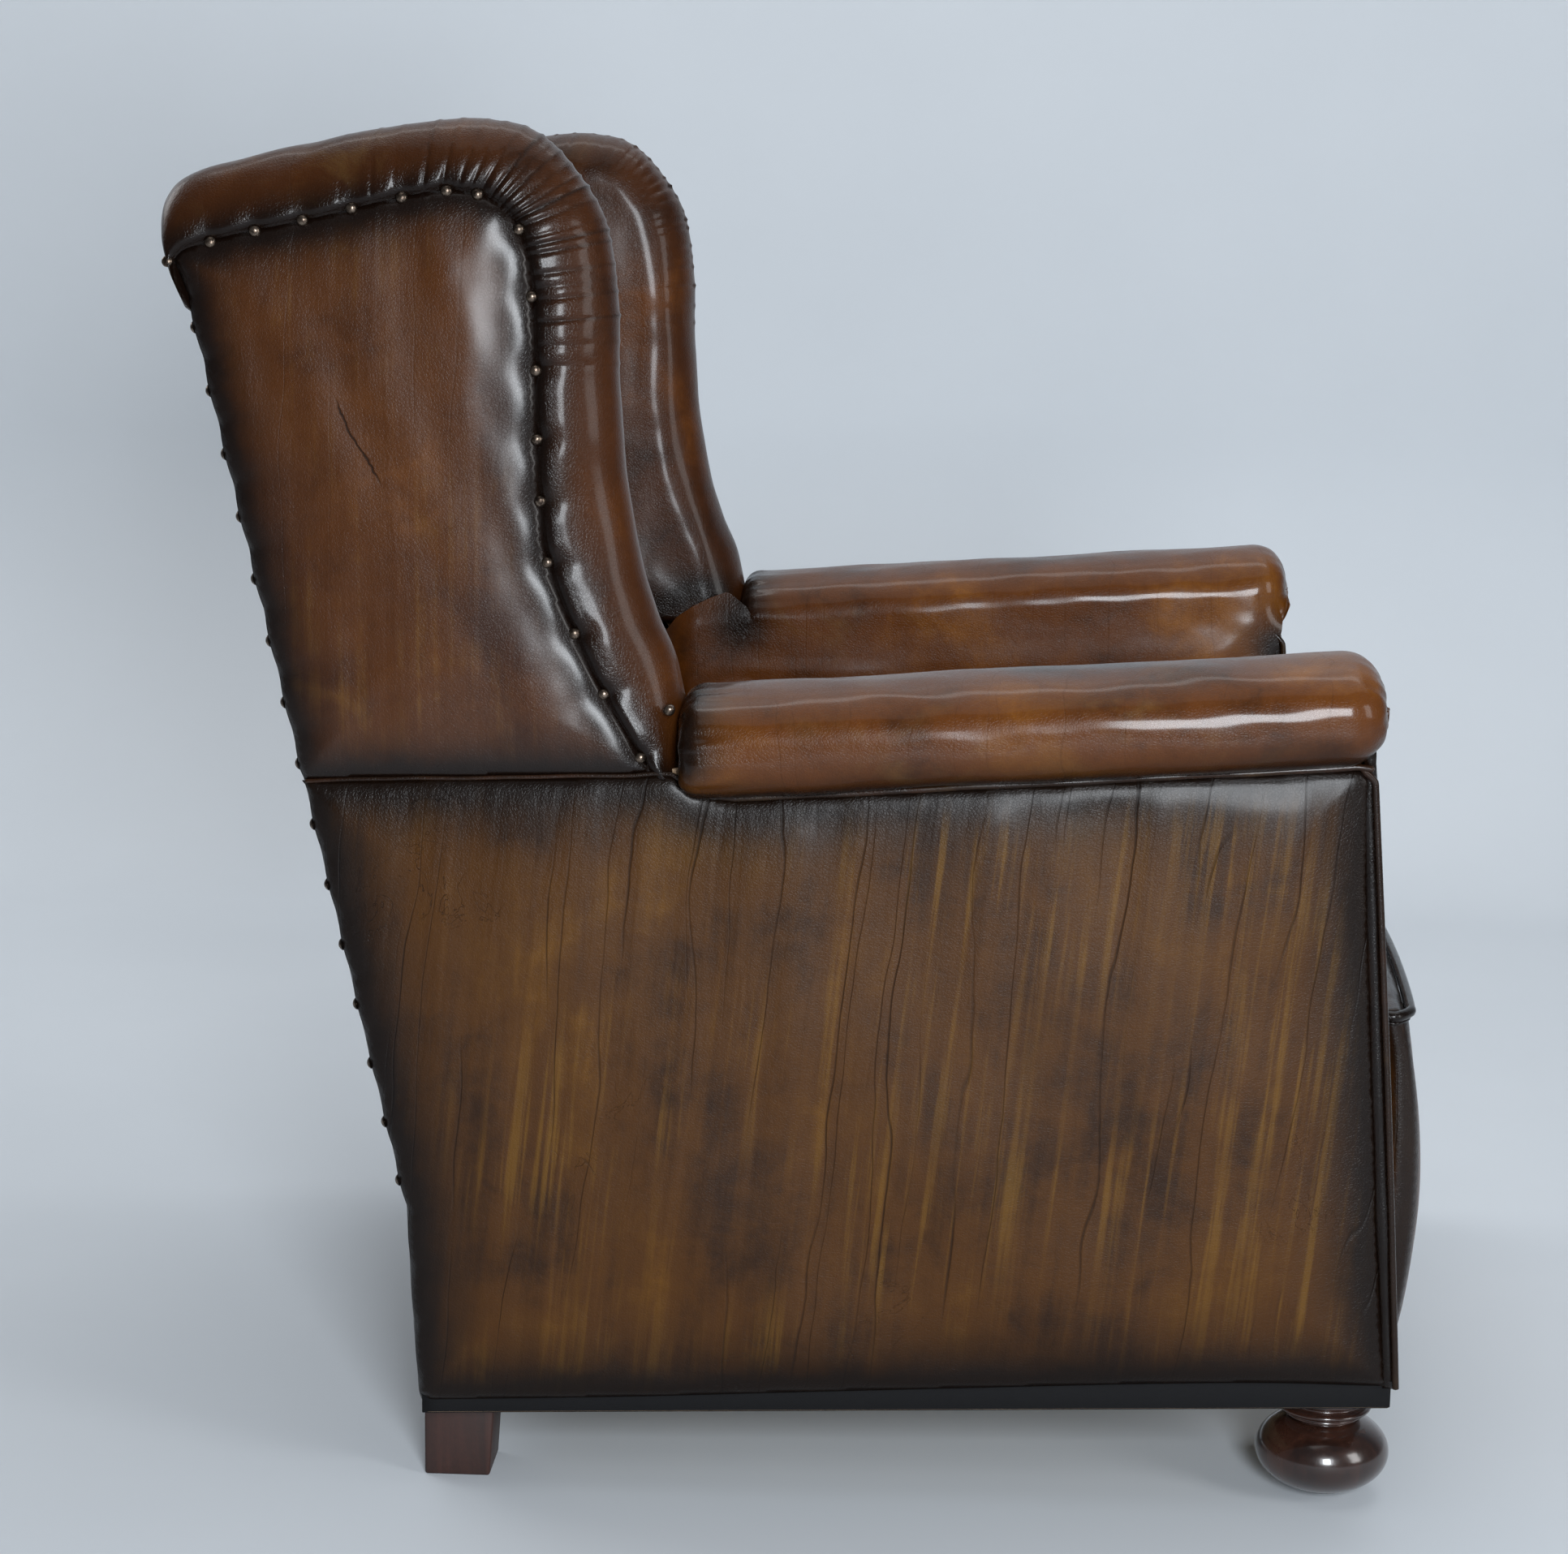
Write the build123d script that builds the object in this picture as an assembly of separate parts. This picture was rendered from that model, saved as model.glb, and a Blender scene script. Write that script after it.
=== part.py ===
from build123d import *
import math
import os

# Antique wing-back library chair, sprung, stuffed and close-covered in leather.
# The chair faces -Y, +X is the sitter's left, +Z is up. The origin is on the floor,
# under the middle of the chair's overall width and depth.

# Overall sizes
overall_height = 1020.0
overall_depth = 956.0
body_half_width = 384.0

# Fits and skins shared by the covers
gap = 0.3
soft_gap = 0.6
hide = 1.6
panel = 6.0
cut_over = 50.0

# Back plane, seen from the side
knee_height = 219.0
knee_setback = 174.0
back_rake = 12.65
heel_rake = 3.2

# Rear block feet
rear_foot_height = 60.0
rear_foot_width = 50.0
rear_foot_top_depth = 54.0
rear_foot_sole_depth = 50.0
rear_foot_inset = 28.0
rear_foot_setback = 183.0

# Turned front feet
front_foot_height = 85.0
front_foot_inset = 58.0
front_foot_setback = 87.0
bun_radius = 50.5
bun_ball_height = 60.0
bun_neck_radius = 32.0
bun_collar_radius = 36.5
bun_collar_height = 5.0
bun_sole_radius = 24.0
belly_share = 0.66
shoulder_share = 0.9
glide_radius = 14.0
glide_height = 3.0
glide_rim = 1.2
screw_radius = 4.0
screw_in_foot = 38.0
screw_in_post = 34.0
screw_clearance = 0.3

# Beech frame
rail_thickness = 30.0
rail_depth = 90.0
front_post_depth = 60.0
front_post_width = 76.0
back_post_depth = 40.0
back_post_width = 50.0
arm_board_width = 45.0
arm_board_thickness = 25.0
tacking_rail_depth = 40.0
tacking_rail_thickness = 25.0
tacking_rail_height = 300.0
crest_rail_depth = 85.0
crest_rail_drop = 105.0
wing_board_thickness = 25.0
wing_post_depth = 45.0
wing_rail_depth = 69.0
block_leg = 60.0
block_depth = 40.0
block_lift = 25.0
dowel_radius = 5.0
dowel_length = 50.0
dowel_clearance = 0.2
dowel_shares = (0.48, 0.8)

# Arms
arm_front_setback = 71.0
arm_rear_y = 98.0
arm_welt_height = 534.0
arm_slope = 0.0738
arm_roll_width = 126.0
arm_roll_overhang = 31.0
arm_roll_height = 80.0
arm_roll_radius = 39.0
arm_under_radius = 28.0
arm_end_radius = 26.0
inside_arm_low_height = 180.0
inside_arm_rear_y = 160.0
welt_radius = 1.8

# Front facings of the arms
facing_foot_setback = 41.0
facing_foot_height = 112.0
facing_lean = 0.0787
facing_piping_radius = 2.5

# Outside covers
cover_low_rear = 73.0
cover_low_front = 108.0
mid_seam_height = 550.0
seam_opening = 1.0
fillet_room_share = 0.99
seam_top_share = 0.902
seam_knee_share = 0.527
seam_corner_share = 0.145
seam_crest_share = 0.632

# Wings
wing_thickness = 84.0
wing_roll_share = 0.95
wing_chin_height = 58.0
wing_chin_share = 0.158
wing_hollow_share = 1.5
wing_corner_share = 0.2844
wing_crest_share = 1.0
wing_rear_share = 0.1054
wing_tail_share = 0.1264
wing_top_slope = 0.066

# Seat
seat_bow = 10.0
seat_edge_height = 367.0
seat_middle_height = 380.0
seat_rear_height = 374.0
seat_crown = 16.0
seat_edge_crown = 8.0
border_low_height = 96.0
border_bulge = 13.0
border_bulge_bow = 8.0
seat_piping_radius = 4.0
seat_piping_ease_share = 0.45
station_shares = (-1.0, -0.55, 0.0, 0.55, 1.0)

# Seat springing
web_width = 50.0
web_thickness = 3.0
web_pitch = 80.0
web_setback = 8.0
cloth = 1.5
spring_height = 180.0
spring_radius = 40.0
spring_waist = 24.0
spring_wire = 2.0
spring_turns = 5
lining = 1.2
lining_inset = 6.0

# Inside back
back_half_width = 297.0
back_low_height = 404.0
back_skirt_height = 320.0
back_low_depth = 210.0
back_crest_drop = 65.0
back_crest_depth = 90.0
back_bulge = 24.0
back_crown = 14.0
back_crest_crown = 6.0
back_roll_rise = 29.0
back_step_drop = 60.0
outside_back_drop = 25.0

# Back springing
back_spring_length = 55.0
back_spring_radius = 30.0
back_spring_waist = 20.0
back_spring_wire = 1.6
back_spring_turns = 3
back_web_pitch = 130.0
back_web_low_height = 500.0
back_web_rows = 3
back_web_reach = 1
back_web_lap = 4.0

# Nails
nail_radius = 4.5
nail_rise = 2.6
nail_shank_radius = 0.6
nail_shank_length = 5.0
wing_nail_count = 17
back_nail_pitch = 45.0

# Values that follow from the sizes above
front_y = -overall_depth / 2
rear_y = overall_depth / 2
knee_y = rear_y - knee_setback
frame_half = body_half_width - panel - gap
rear_foot_y = rear_y - rear_foot_setback - rear_foot_top_depth / 2
rear_foot_x = body_half_width - rear_foot_inset - rear_foot_width / 2
front_foot_y = front_y + front_foot_setback
front_foot_x = body_half_width - front_foot_inset
sole_slope = (front_foot_height - rear_foot_height) / (rear_foot_y - front_foot_y)
sole_tilt = math.degrees(math.atan(sole_slope))
sole_stretch = math.hypot(1, sole_slope)
facing_foot_y = front_y + facing_foot_setback
arm_front_y = front_y + arm_front_setback
wing_front_y = arm_rear_y + gap
skin = panel + gap
roll_outer = body_half_width + arm_roll_overhang
roll_inner = roll_outer - arm_roll_width
slab_inner = roll_inner + hide + gap
post_inner = frame_half - front_post_width
back_post_inner = frame_half - back_post_width
rail_inner = frame_half - rail_thickness
board_inner = frame_half - arm_board_width
wing_inner = body_half_width - wing_thickness
wing_board_inner = frame_half - wing_board_thickness
seat_half = roll_inner - soft_gap
posts_front = skin + back_post_depth
web_front = posts_front + web_thickness
seat_corner_y = front_y + seat_bow + border_bulge + border_bulge_bow + hide + soft_gap
seat_stack = (spring_height + cloth + 3 * gap) * sole_stretch
border_top = seat_edge_height - 2 * seat_piping_radius + hide
wing_base = arm_welt_height + arm_board_thickness + 2 * gap
back_crest_height = overall_height - back_crest_drop
crest_rail_height = back_crest_height - crest_rail_drop
crest_top = crest_rail_height + crest_rail_depth
back_step_height = crest_rail_height - back_step_drop
outside_back_top = back_crest_height - outside_back_drop
seam_top = mid_seam_height + seam_top_share * (overall_height - mid_seam_height)
wing_rail_height = seam_top - wing_rail_depth
wing_reach = min(rear_y - wing_front_y, overall_height - wing_base)
seam_radii = [share * wing_reach for share in (seam_knee_share, seam_corner_share, seam_crest_share)]
wing_chin_radius = wing_chin_share * wing_reach
wing_hollow_radius = wing_hollow_share * wing_reach
wing_corner_radius = wing_corner_share * wing_reach
wing_crest_radius = wing_crest_share * wing_reach
wing_rear_radius = wing_rear_share * wing_reach
wing_tail_radius = wing_tail_share * wing_reach
cover_depth = soft_gap + hide
web_room = (rear_foot_y - front_foot_y - rear_foot_top_depth - web_width) / 2
web_rows = int(web_room / web_pitch)


def low(y):
    """Height of the frame's underside, which rises towards the front."""
    return rear_foot_height + (rear_foot_y - y) * sole_slope


def rear(z):
    """Y of the outside back's plane at a height."""
    rake = back_rake if z > knee_height else heel_rake
    return knee_y + (z - knee_height) * math.tan(math.radians(rake))


def behind(depth, z):
    """Y at a depth inside the outside back's plane."""
    return rear(z) - depth


def welt(y):
    """Height of the seam under the arm roll."""
    return arm_welt_height + (arm_rear_y - y) * arm_slope


def facing(z):
    """Y of the front facing's outer surface."""
    return facing_foot_y + (z - facing_foot_height) * facing_lean


def post_face(z):
    """Y of the front post's front face."""
    return facing(z) + skin


def post_back(z):
    """Y of the front post's back face."""
    return post_face(z) + front_post_depth


def facing_meets(line, depth):
    """Point where a plane behind the facing meets a line of heights along y."""
    z = facing_foot_height
    for _ in range(20):
        z = line(facing(z) + depth)
    return facing(z) + depth, z


def seat_rear():
    """Y where the seat meets the foot of the inside back."""
    return behind(back_low_depth, back_low_height) - back_crown - cover_depth - soft_gap


def border_plane():
    """Y of the plane between the front border's stuffing and the front rail."""
    return facing_meets(low, skin)[0] - gap


def back_meets(line, depth):
    """Point where a plane inside the back meets a line of heights along y."""
    z = line(knee_y)
    for _ in range(20):
        z = line(behind(depth, z))
    return behind(depth, z), z


def cover_low(y):
    """Height of the lower edge of the outside arm covers."""
    share = (knee_y - y) / (knee_y - arm_front_y)
    return cover_low_rear + (cover_low_front - cover_low_rear) * share


def push(flat, run):
    """Solid left behind by a flat outline pushed along a vector."""
    return Solid.extrude(flat.face(), run)


def plate(points, x_low, x_high):
    """Flat board with a side outline of (y, z) points, from one x to another."""
    outline = Polyline(*[(x_low, y, z) for y, z in points], close=True)
    return push(make_face(outline), Vector(x_high - x_low, 0, 0))


def box(x_low, x_high, y_low, y_high, z_low, z_high):
    """Plain box between its corners."""
    middle = Pos((x_low + x_high) / 2, (y_low + y_high) / 2, (z_low + z_high) / 2)
    return middle * Box(x_high - x_low, y_high - y_low, z_high - z_low)


def rod(start, end, radius):
    """Round bar between two points."""
    run = Vector(*end) - Vector(*start)
    section = Plane(origin=start, z_dir=run) * Circle(radius)
    return push(section, run)


def mirrored(shape):
    """The same piece on the sitter's right."""
    return mirror(shape, about=Plane.YZ)


def save(name, *shapes):
    """Write one node, a single solid or a group of separate ones."""
    solids = [solid for shape in shapes for solid in shape.solids()]
    whole = solids[0] if len(solids) == 1 else Compound(children=solids)
    export_step(whole, f"parts/{name}.step")


def save_pair(name, shape):
    """Write the left piece and its mirror image on the right."""
    save(f"{name}_left", shape)
    save(f"{name}_right", mirrored(shape))


def back_zone(depth, z_high, x_low):
    """Everything at the rear of a plane inside the back, up to a height."""
    base = low(rear_foot_y) - cut_over
    points = [
        (behind(depth, base), base),
        (behind(depth, knee_height), knee_height),
        (behind(depth, z_high), z_high),
        (rear_y + cut_over, z_high),
        (rear_y + cut_over, base),
    ]
    return plate(points, x_low, roll_outer)


def seam_points():
    """Side outline of the outside wing along its seam, as (y, z) points."""
    depth = rear_y - wing_front_y
    height = overall_height - mid_seam_height
    outline_shares = [(0.057, 0.0), (0.28, 0.351), (0.283, seam_top_share), (0.505, 0.889)]
    end_share = 0.787
    points = [(wing_front_y + u * depth, mid_seam_height + v * height) for u, v in outline_shares]
    end_z = mid_seam_height + end_share * height
    return points + [(rear(end_z), end_z)]


def turn_at(points, i):
    """Angle turned to the right at a corner of a (y, z) outline, below zero for a left turn."""
    before = math.atan2(points[i][1] - points[i - 1][1], points[i][0] - points[i - 1][0])
    after = math.atan2(points[i + 1][1] - points[i][1], points[i + 1][0] - points[i][0])
    return math.remainder(before - after, math.tau)


def fitted_radii(points, radii):
    """Corner radii of an open outline, smaller where its sides are too short for them."""
    turns = [turn_at(points, i) for i in range(1, len(radii) + 1)]
    tangents = [0, *[radius * math.tan(abs(turn) / 2) for radius, turn in zip(radii, turns)], 0]
    sides = [math.dist(a, b) for a, b in zip(points, points[1:])]
    room = [min(1, fillet_room_share * side / (a + b)) for side, a, b in zip(sides, tangents, tangents[1:])]
    return [radius * min(a, b) for radius, a, b in zip(radii, room, room[1:])]


def seam_path():
    """Line of the wing seam, from the arm up and back to the crest."""
    points = seam_points()
    return FilletPolyline(*[(0, y, z) for y, z in points], radius=fitted_radii(points, seam_radii))


def grown_corners(points, growth):
    """Corners of a clockwise (y, z) outline with each of its sides moved out."""
    sides = []
    for start, end in zip(points, points[1:] + points[:1]):
        run = math.hypot(end[0] - start[0], end[1] - start[1])
        normal = ((start[1] - end[1]) / run, (end[0] - start[0]) / run)
        sides.append((normal, normal[0] * start[0] + normal[1] * start[1] + growth))
    corners = []
    for (first, reach), (second, far) in zip(sides[-1:] + sides[:-1], sides):
        turn = first[0] * second[1] - first[1] * second[0]
        y = (reach * second[1] - far * first[1]) / turn
        corners.append((y, (first[0] * far - second[0] * reach) / turn))
    return corners


def rounded_face(points, radii, growth):
    """Face of a clockwise outline, its corners rounded from the second on, grown or shrunk."""
    rounded = len(radii) + 2
    turns = [turn_at(points, i) for i in range(1, len(radii) + 1)]
    grown_radii = []
    for radius, turn in zip(fitted_radii(points[:rounded], radii), turns):
        grown_radii.append(radius + math.copysign(1, turn) * growth)
    corners = [(0, y, z) for y, z in grown_corners(points, growth)]
    path = FilletPolyline(*corners[:rounded], radius=grown_radii)
    rest = Polyline(*corners[rounded - 1:], corners[0])
    return make_face([*path.edges(), *rest.edges()])


def wing_panel_face(growth):
    """Face of the outside wing inside its seam line, grown or shrunk."""
    points = seam_points()
    return rounded_face([*points, (rear(points[0][1]), points[0][1])], seam_radii, growth)


def thick(face, x_low, x_high):
    """Side outline in the middle plane, thickened from one x to another."""
    return push(Pos(x_low, 0, 0) * face, Vector(x_high - x_low, 0, 0))


def wing_points():
    """Side outline of the padded wing, from its chin up, over and down the back."""
    depth = rear_y - wing_front_y
    height = overall_height - wing_base
    hollow_share = (0.128, 0.457)
    crest_share = 0.61
    rear_shares = (0.906, 0.79, 0.705)
    chin = wing_base + wing_chin_height
    neck_y = wing_front_y + hollow_share[0] * depth
    rounding = wing_top_slope + math.hypot(1, wing_top_slope) - 1
    corner_z = overall_height + wing_corner_radius * rounding
    crest_y = wing_front_y + crest_share * depth
    crest_z = corner_z - (crest_y - neck_y) * wing_top_slope
    rear_z = [wing_base + share * height for share in rear_shares]
    return [
        (wing_front_y, wing_base),
        (wing_front_y, chin),
        (neck_y, wing_base + hollow_share[1] * height),
        (neck_y, corner_z),
        (crest_y, crest_z),
        (rear_y, rear_z[0]),
        (rear_y, rear_z[1]),
        (rear(rear_z[2]), rear_z[2]),
        (rear(wing_base), wing_base),
    ]


def wing_form(inset):
    """Padded wing with rounded rims, or the same form inside its leather."""
    points = wing_points()
    radii = [wing_chin_radius, wing_hollow_radius, wing_corner_radius, wing_crest_radius]
    radii += [wing_rear_radius, wing_tail_radius, wing_rear_radius]
    tightest = min(*fitted_radii(points, radii), wing_thickness / 2)
    face = rounded_face(points, radii, -inset)
    solid = thick(face, wing_inner + inset, body_half_width - inset)
    rims = []
    for edge in solid.edges():
        place = edge.bounding_box()
        if place.size.X < gap and place.max.Z > wing_base + inset + gap:
            rims.append(edge)
    return fillet(rims, wing_roll_share * tightest - inset)


def roll_form(inset, floor):
    """Arm roll with a domed front end, or the same form inside its leather."""
    y = arm_front_y + inset
    z_low = welt(y) + floor
    z_high = welt(y) + arm_roll_height - inset
    x_low = roll_inner + inset
    x_high = roll_outer - inset
    middle = (x_low + x_high) / 2
    corners = [(x_low, z_low), (x_low, z_high), (x_high, z_high), (x_high, z_low), (middle, z_low)]
    radii = [arm_roll_radius - inset, arm_roll_radius - inset, arm_under_radius - inset]
    path = FilletPolyline(*[(x, y, z) for x, z in corners], radius=radii)
    closing = Line((middle, y, z_low), (x_low, y, z_low))
    face = make_face([*path.edges(), closing])
    length = arm_rear_y - y
    solid = push(face, Vector(0, length, -length * arm_slope))
    rims = []
    for edge in solid.edges():
        place = edge.bounding_box()
        if place.size.Y < gap and place.max.Y < y + gap and place.size.Z > gap:
            rims.append(edge)
        elif place.size.Y < gap and place.max.Y < y + gap and place.min.Z > z_high - gap:
            rims.append(edge)
    return fillet(rims, arm_end_radius - inset)


def sloped_box(x_low, x_high, low_offset, high_offset):
    """Bar that follows the arm's slope, at offsets from its welt line."""
    start = arm_front_y - cut_over
    end = arm_rear_y + cut_over
    points = [
        (start, welt(start) + low_offset),
        (end, welt(end) + low_offset),
        (end, welt(end) + high_offset),
        (start, welt(start) + high_offset),
    ]
    return plate(points, x_low, x_high)


def spring(height, end_radius, waist_radius, wire, turns):
    """Upholstery spring, one wire wound in to a waist and out again, and its least gap."""
    steps = 4 * turns
    near = 0.02

    def place(step):
        share = step / steps
        width = waist_radius + (end_radius - waist_radius) * (1 - 2 * share) ** 2
        angle = math.pi / 2 * step
        rise = wire + (height - 2 * wire) * share
        return Vector(width * math.cos(angle), width * math.sin(angle), rise)

    def heading(step):
        return (place(step + near) - place(step - near)).normalized()

    edges = []
    line = []
    for step in range(steps):
        start = place(step)
        chord = place(step + 1) - start
        leave = heading(step)
        arrive = heading(step + 1)
        along = chord.dot(leave + arrive)
        turn = 2 * (1 - leave.dot(arrive))
        reach = (-along + math.sqrt(along * along + turn * chord.dot(chord))) / turn
        joint = (start + leave * reach + start + chord - arrive * reach) * 0.5
        first = TangentArc(start, joint, tangent=leave)
        second = TangentArc(joint, start + chord, tangent=first % 1)
        edges += [first.edge(), second.edge()]
        line += [place(step + quarter / 4) for quarter in range(4)]
    path = Wire(edges)
    profile = Plane(origin=path @ 0, z_dir=path % 0) * Circle(wire)
    ahead = 8
    least = min(
        (line[i] - line[j]).length
        for i in range(len(line))
        for j in range(i + ahead, len(line))
    )
    return sweep(profile, path=path), least - 2 * wire


def dowel(place):
    """Beech peg along z of a place, and the hole for it."""
    peg = place * Cylinder(dowel_radius, dowel_length)
    wide = dowel_radius + dowel_clearance
    hole = place * Cylinder(wide, dowel_length + 2 * dowel_clearance)
    return peg, hole


def foot_screw(x, y):
    """Hanger bolt between a foot and its post, and the hole for it."""
    length = screw_in_foot + screw_in_post
    middle = Pos(x, y, low(y) - screw_in_foot + length / 2)
    bolt = middle * Cylinder(screw_radius, length)
    wide = screw_radius + screw_clearance
    hole = middle * Cylinder(wide, length + 2 * screw_clearance)
    return bolt, hole


def make_feet():
    """Turned front feet, tapered rear blocks, glides and screws. Returns the screw holes."""
    ball_top = glide_height + bun_ball_height
    belly = glide_height + bun_ball_height * belly_share
    collar_low = front_foot_height - bun_collar_height
    top = front_foot_height + cut_over
    bulge = bun_radius * shoulder_share
    upper = belly + (ball_top - belly) * belly_share
    lower = glide_height + (belly - glide_height) * (1 - belly_share)
    profile = [
        Line((0, glide_height), (bun_sole_radius, glide_height)),
        ThreePointArc((bun_sole_radius, glide_height), (bulge, lower), (bun_radius, belly)),
        ThreePointArc((bun_radius, belly), (bulge, upper), (bun_neck_radius, ball_top)),
        Line((bun_neck_radius, ball_top), (bun_neck_radius, collar_low)),
        Line((bun_neck_radius, collar_low), (bun_collar_radius, collar_low)),
        Line((bun_collar_radius, collar_low), (bun_collar_radius, top)),
        Line((bun_collar_radius, top), (0, top)),
        Line((0, top), (0, glide_height)),
    ]
    turned = revolve(Plane.XZ * make_face(profile), axis=Axis.Z)
    y_low = front_foot_y - 2 * bun_radius
    y_high = front_foot_y + 2 * bun_radius
    above = [
        (y_low, low(y_low)),
        (y_high, low(y_high)),
        (y_high, top + cut_over),
        (y_low, top + cut_over),
    ]
    front_screw = foot_screw(front_foot_x, front_foot_y)
    bun = Pos(front_foot_x, front_foot_y, 0) * turned - plate(above, 0, roll_outer)
    save_pair("bun_foot", bun - front_screw[1])

    rear_edge = rear_foot_y + rear_foot_top_depth / 2
    top_edge = rear_edge - rear_foot_top_depth
    points = [
        (rear_edge - rear_foot_sole_depth, 0),
        (rear_edge, 0),
        (rear_edge, low(rear_edge)),
        (top_edge, low(top_edge)),
    ]
    foot_out = rear_foot_x + rear_foot_width / 2
    block = plate(points, foot_out - rear_foot_width, foot_out)
    rear_screw = foot_screw((back_post_inner + foot_out) / 2, rear_foot_y)
    save_pair("rear_foot", block - rear_screw[1])

    disc = Pos(front_foot_x, front_foot_y, glide_height / 2) * Cylinder(glide_radius, glide_height)
    disc = chamfer(disc.edges().sort_by(Axis.Z)[0], glide_rim)
    save("foot_glides", disc, mirrored(disc))
    screws = [front_screw[0], rear_screw[0]]
    save("foot_screws", *screws, *[mirrored(screw) for screw in screws])
    return front_screw[1], rear_screw[1]


def make_frame(front_hole, rear_hole):
    """Beech frame: rails, posts, boards, corner blocks and dowels."""
    post_front_low = facing_meets(low, skin)
    post_back_low = facing_meets(low, skin + front_post_depth)
    heel_back = back_meets(low, skin)
    heel_front = back_meets(low, posts_front)
    rail_front = post_front_low[0]
    side_front = post_back_low[0]
    side_rear = heel_front[0]
    back_rail_y = heel_back[0]
    tacking_top = tacking_rail_height + tacking_rail_depth
    post_top = wing_rail_height - gap

    def rail_high(y):
        return low(y) + rail_depth

    left = {}
    centre = {}
    left["front_post"] = plate([
        post_front_low,
        post_back_low,
        facing_meets(welt, skin + front_post_depth),
        facing_meets(welt, skin),
    ], post_inner, frame_half) - front_hole
    left["back_post"] = plate([
        heel_back,
        (behind(skin, knee_height), knee_height),
        (behind(skin, post_top), post_top),
        (behind(posts_front, post_top), post_top),
        (behind(posts_front, knee_height), knee_height),
        heel_front,
    ], back_post_inner, frame_half) - rear_hole
    left["side_seat_rail"] = plate([
        post_back_low,
        heel_front,
        back_meets(rail_high, posts_front),
        facing_meets(rail_high, skin + front_post_depth),
    ], rail_inner, frame_half)
    board_low = gap
    board_high = gap + arm_board_thickness
    board_front = arm_front_y + arm_end_radius
    left["arm_board"] = plate([
        (board_front, welt(board_front) + board_low),
        (rear_y, welt(rear_y) + board_low),
        (rear_y, welt(rear_y) + board_high),
        (board_front, welt(board_front) + board_high),
    ], board_inner, frame_half) - back_zone(posts_front, wing_rail_height, 0)
    tacking_y = post_back(tacking_rail_height)
    tacking_rail = plate([
        (tacking_y, tacking_rail_height),
        (behind(posts_front, tacking_rail_height), tacking_rail_height),
        (behind(posts_front, tacking_top), tacking_top),
        (post_back(tacking_top), tacking_top),
    ], board_inner, board_inner + tacking_rail_thickness)
    save("arm_tacking_rails", tacking_rail, mirrored(tacking_rail))

    boards = thick(wing_panel_face(-seam_opening), wing_board_inner, frame_half)
    boards = boards - back_zone(skin, overall_height, 0)
    under = [
        (wing_front_y - cut_over, mid_seam_height - cut_over),
        (rear_y, mid_seam_height - cut_over),
        (rear_y, welt(rear_y) + board_high),
        (wing_front_y - cut_over, welt(wing_front_y - cut_over) + board_high),
    ]
    boards = boards - plate(under, 0, roll_outer)
    above = box(0, roll_outer, front_y, rear_y, wing_rail_height, overall_height)
    below = box(0, roll_outer, front_y, rear_y, 0, wing_rail_height)
    left["wing_rail"] = boards - below
    left["wing_post"] = boards - above - Pos(0, wing_post_depth, 0) * boards

    centre["front_seat_rail"] = plate([
        post_front_low,
        facing_meets(low, skin + rail_thickness),
        facing_meets(rail_high, skin + rail_thickness),
        facing_meets(rail_high, skin),
    ], -post_inner, post_inner)
    centre["back_seat_rail"] = plate([
        back_meets(low, skin + rail_thickness),
        heel_back,
        back_meets(rail_high, skin),
        back_meets(rail_high, skin + rail_thickness),
    ], -back_post_inner, back_post_inner)
    centre["lower_back_rail"] = plate([
        (behind(posts_front, tacking_rail_height), tacking_rail_height),
        (behind(posts_front, tacking_top), tacking_top),
        (behind(posts_front - tacking_rail_thickness, tacking_top), tacking_top),
        (behind(posts_front - tacking_rail_thickness, tacking_rail_height), tacking_rail_height),
    ], -back_post_inner, back_post_inner)
    centre["crest_rail"] = plate([
        (behind(posts_front, crest_rail_height), crest_rail_height),
        (behind(posts_front, crest_top), crest_top),
        (behind(skin, crest_top), crest_top),
        (behind(skin, crest_rail_height), crest_rail_height),
    ], -back_post_inner, back_post_inner)

    pegs = []
    side_x = (rail_inner + frame_half) / 2
    for share in dowel_shares:
        z = low(side_rear) + share * rail_depth
        joints = [
            ("side_seat_rail", "back_post", Pos(side_x, side_rear, z) * Rot(90, 0, 0)),
            ("back_seat_rail", "back_post",
             Pos(back_post_inner, back_rail_y - rail_thickness / 2, z) * Rot(0, 90, 0)),
        ]
        z = low(side_front) + share * rail_depth
        joints += [
            ("side_seat_rail", "front_post", Pos(side_x, post_back(z), z) * Rot(90, 0, 0)),
            ("front_seat_rail", "front_post",
             Pos(post_inner, post_face(z) + rail_thickness / 2, z) * Rot(0, 90, 0)),
        ]
        z = crest_rail_height + share * (post_top - crest_rail_height)
        mid_depth = (skin + posts_front) / 2
        joints.append(("crest_rail", "back_post",
                       Pos(back_post_inner, behind(mid_depth, z), z) * Rot(0, 90, 0)))
        for first, second, place in joints:
            peg, hole = dowel(place)
            pegs.append(peg)
            left[second] = left[second] - hole
            if first in left:
                left[first] = left[first] - hole
            else:
                centre[first] = centre[first] - hole - mirrored(hole)
    for name, shape in left.items():
        save_pair(name, shape)
    for name, shape in centre.items():
        save(name, shape)
    save("dowels", *pegs, *[mirrored(peg) for peg in pegs])

    blocks = []
    block_top = post_back_low[1] + block_lift + block_depth
    corners = [
        (post_back(block_top) + gap, block_leg, post_back_low[1] + block_lift),
        (side_rear - gap, -block_leg, heel_front[1] + block_lift),
    ]
    for y, leg, z in corners:
        outline = Polyline(
            (rail_inner, y, z), (rail_inner - block_leg, y, z), (rail_inner, y + leg, z), close=True
        )
        blocks.append(push(make_face(outline), Vector(0, 0, block_depth)))
    save("corner_blocks", *blocks, *[mirrored(block) for block in blocks])


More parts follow.
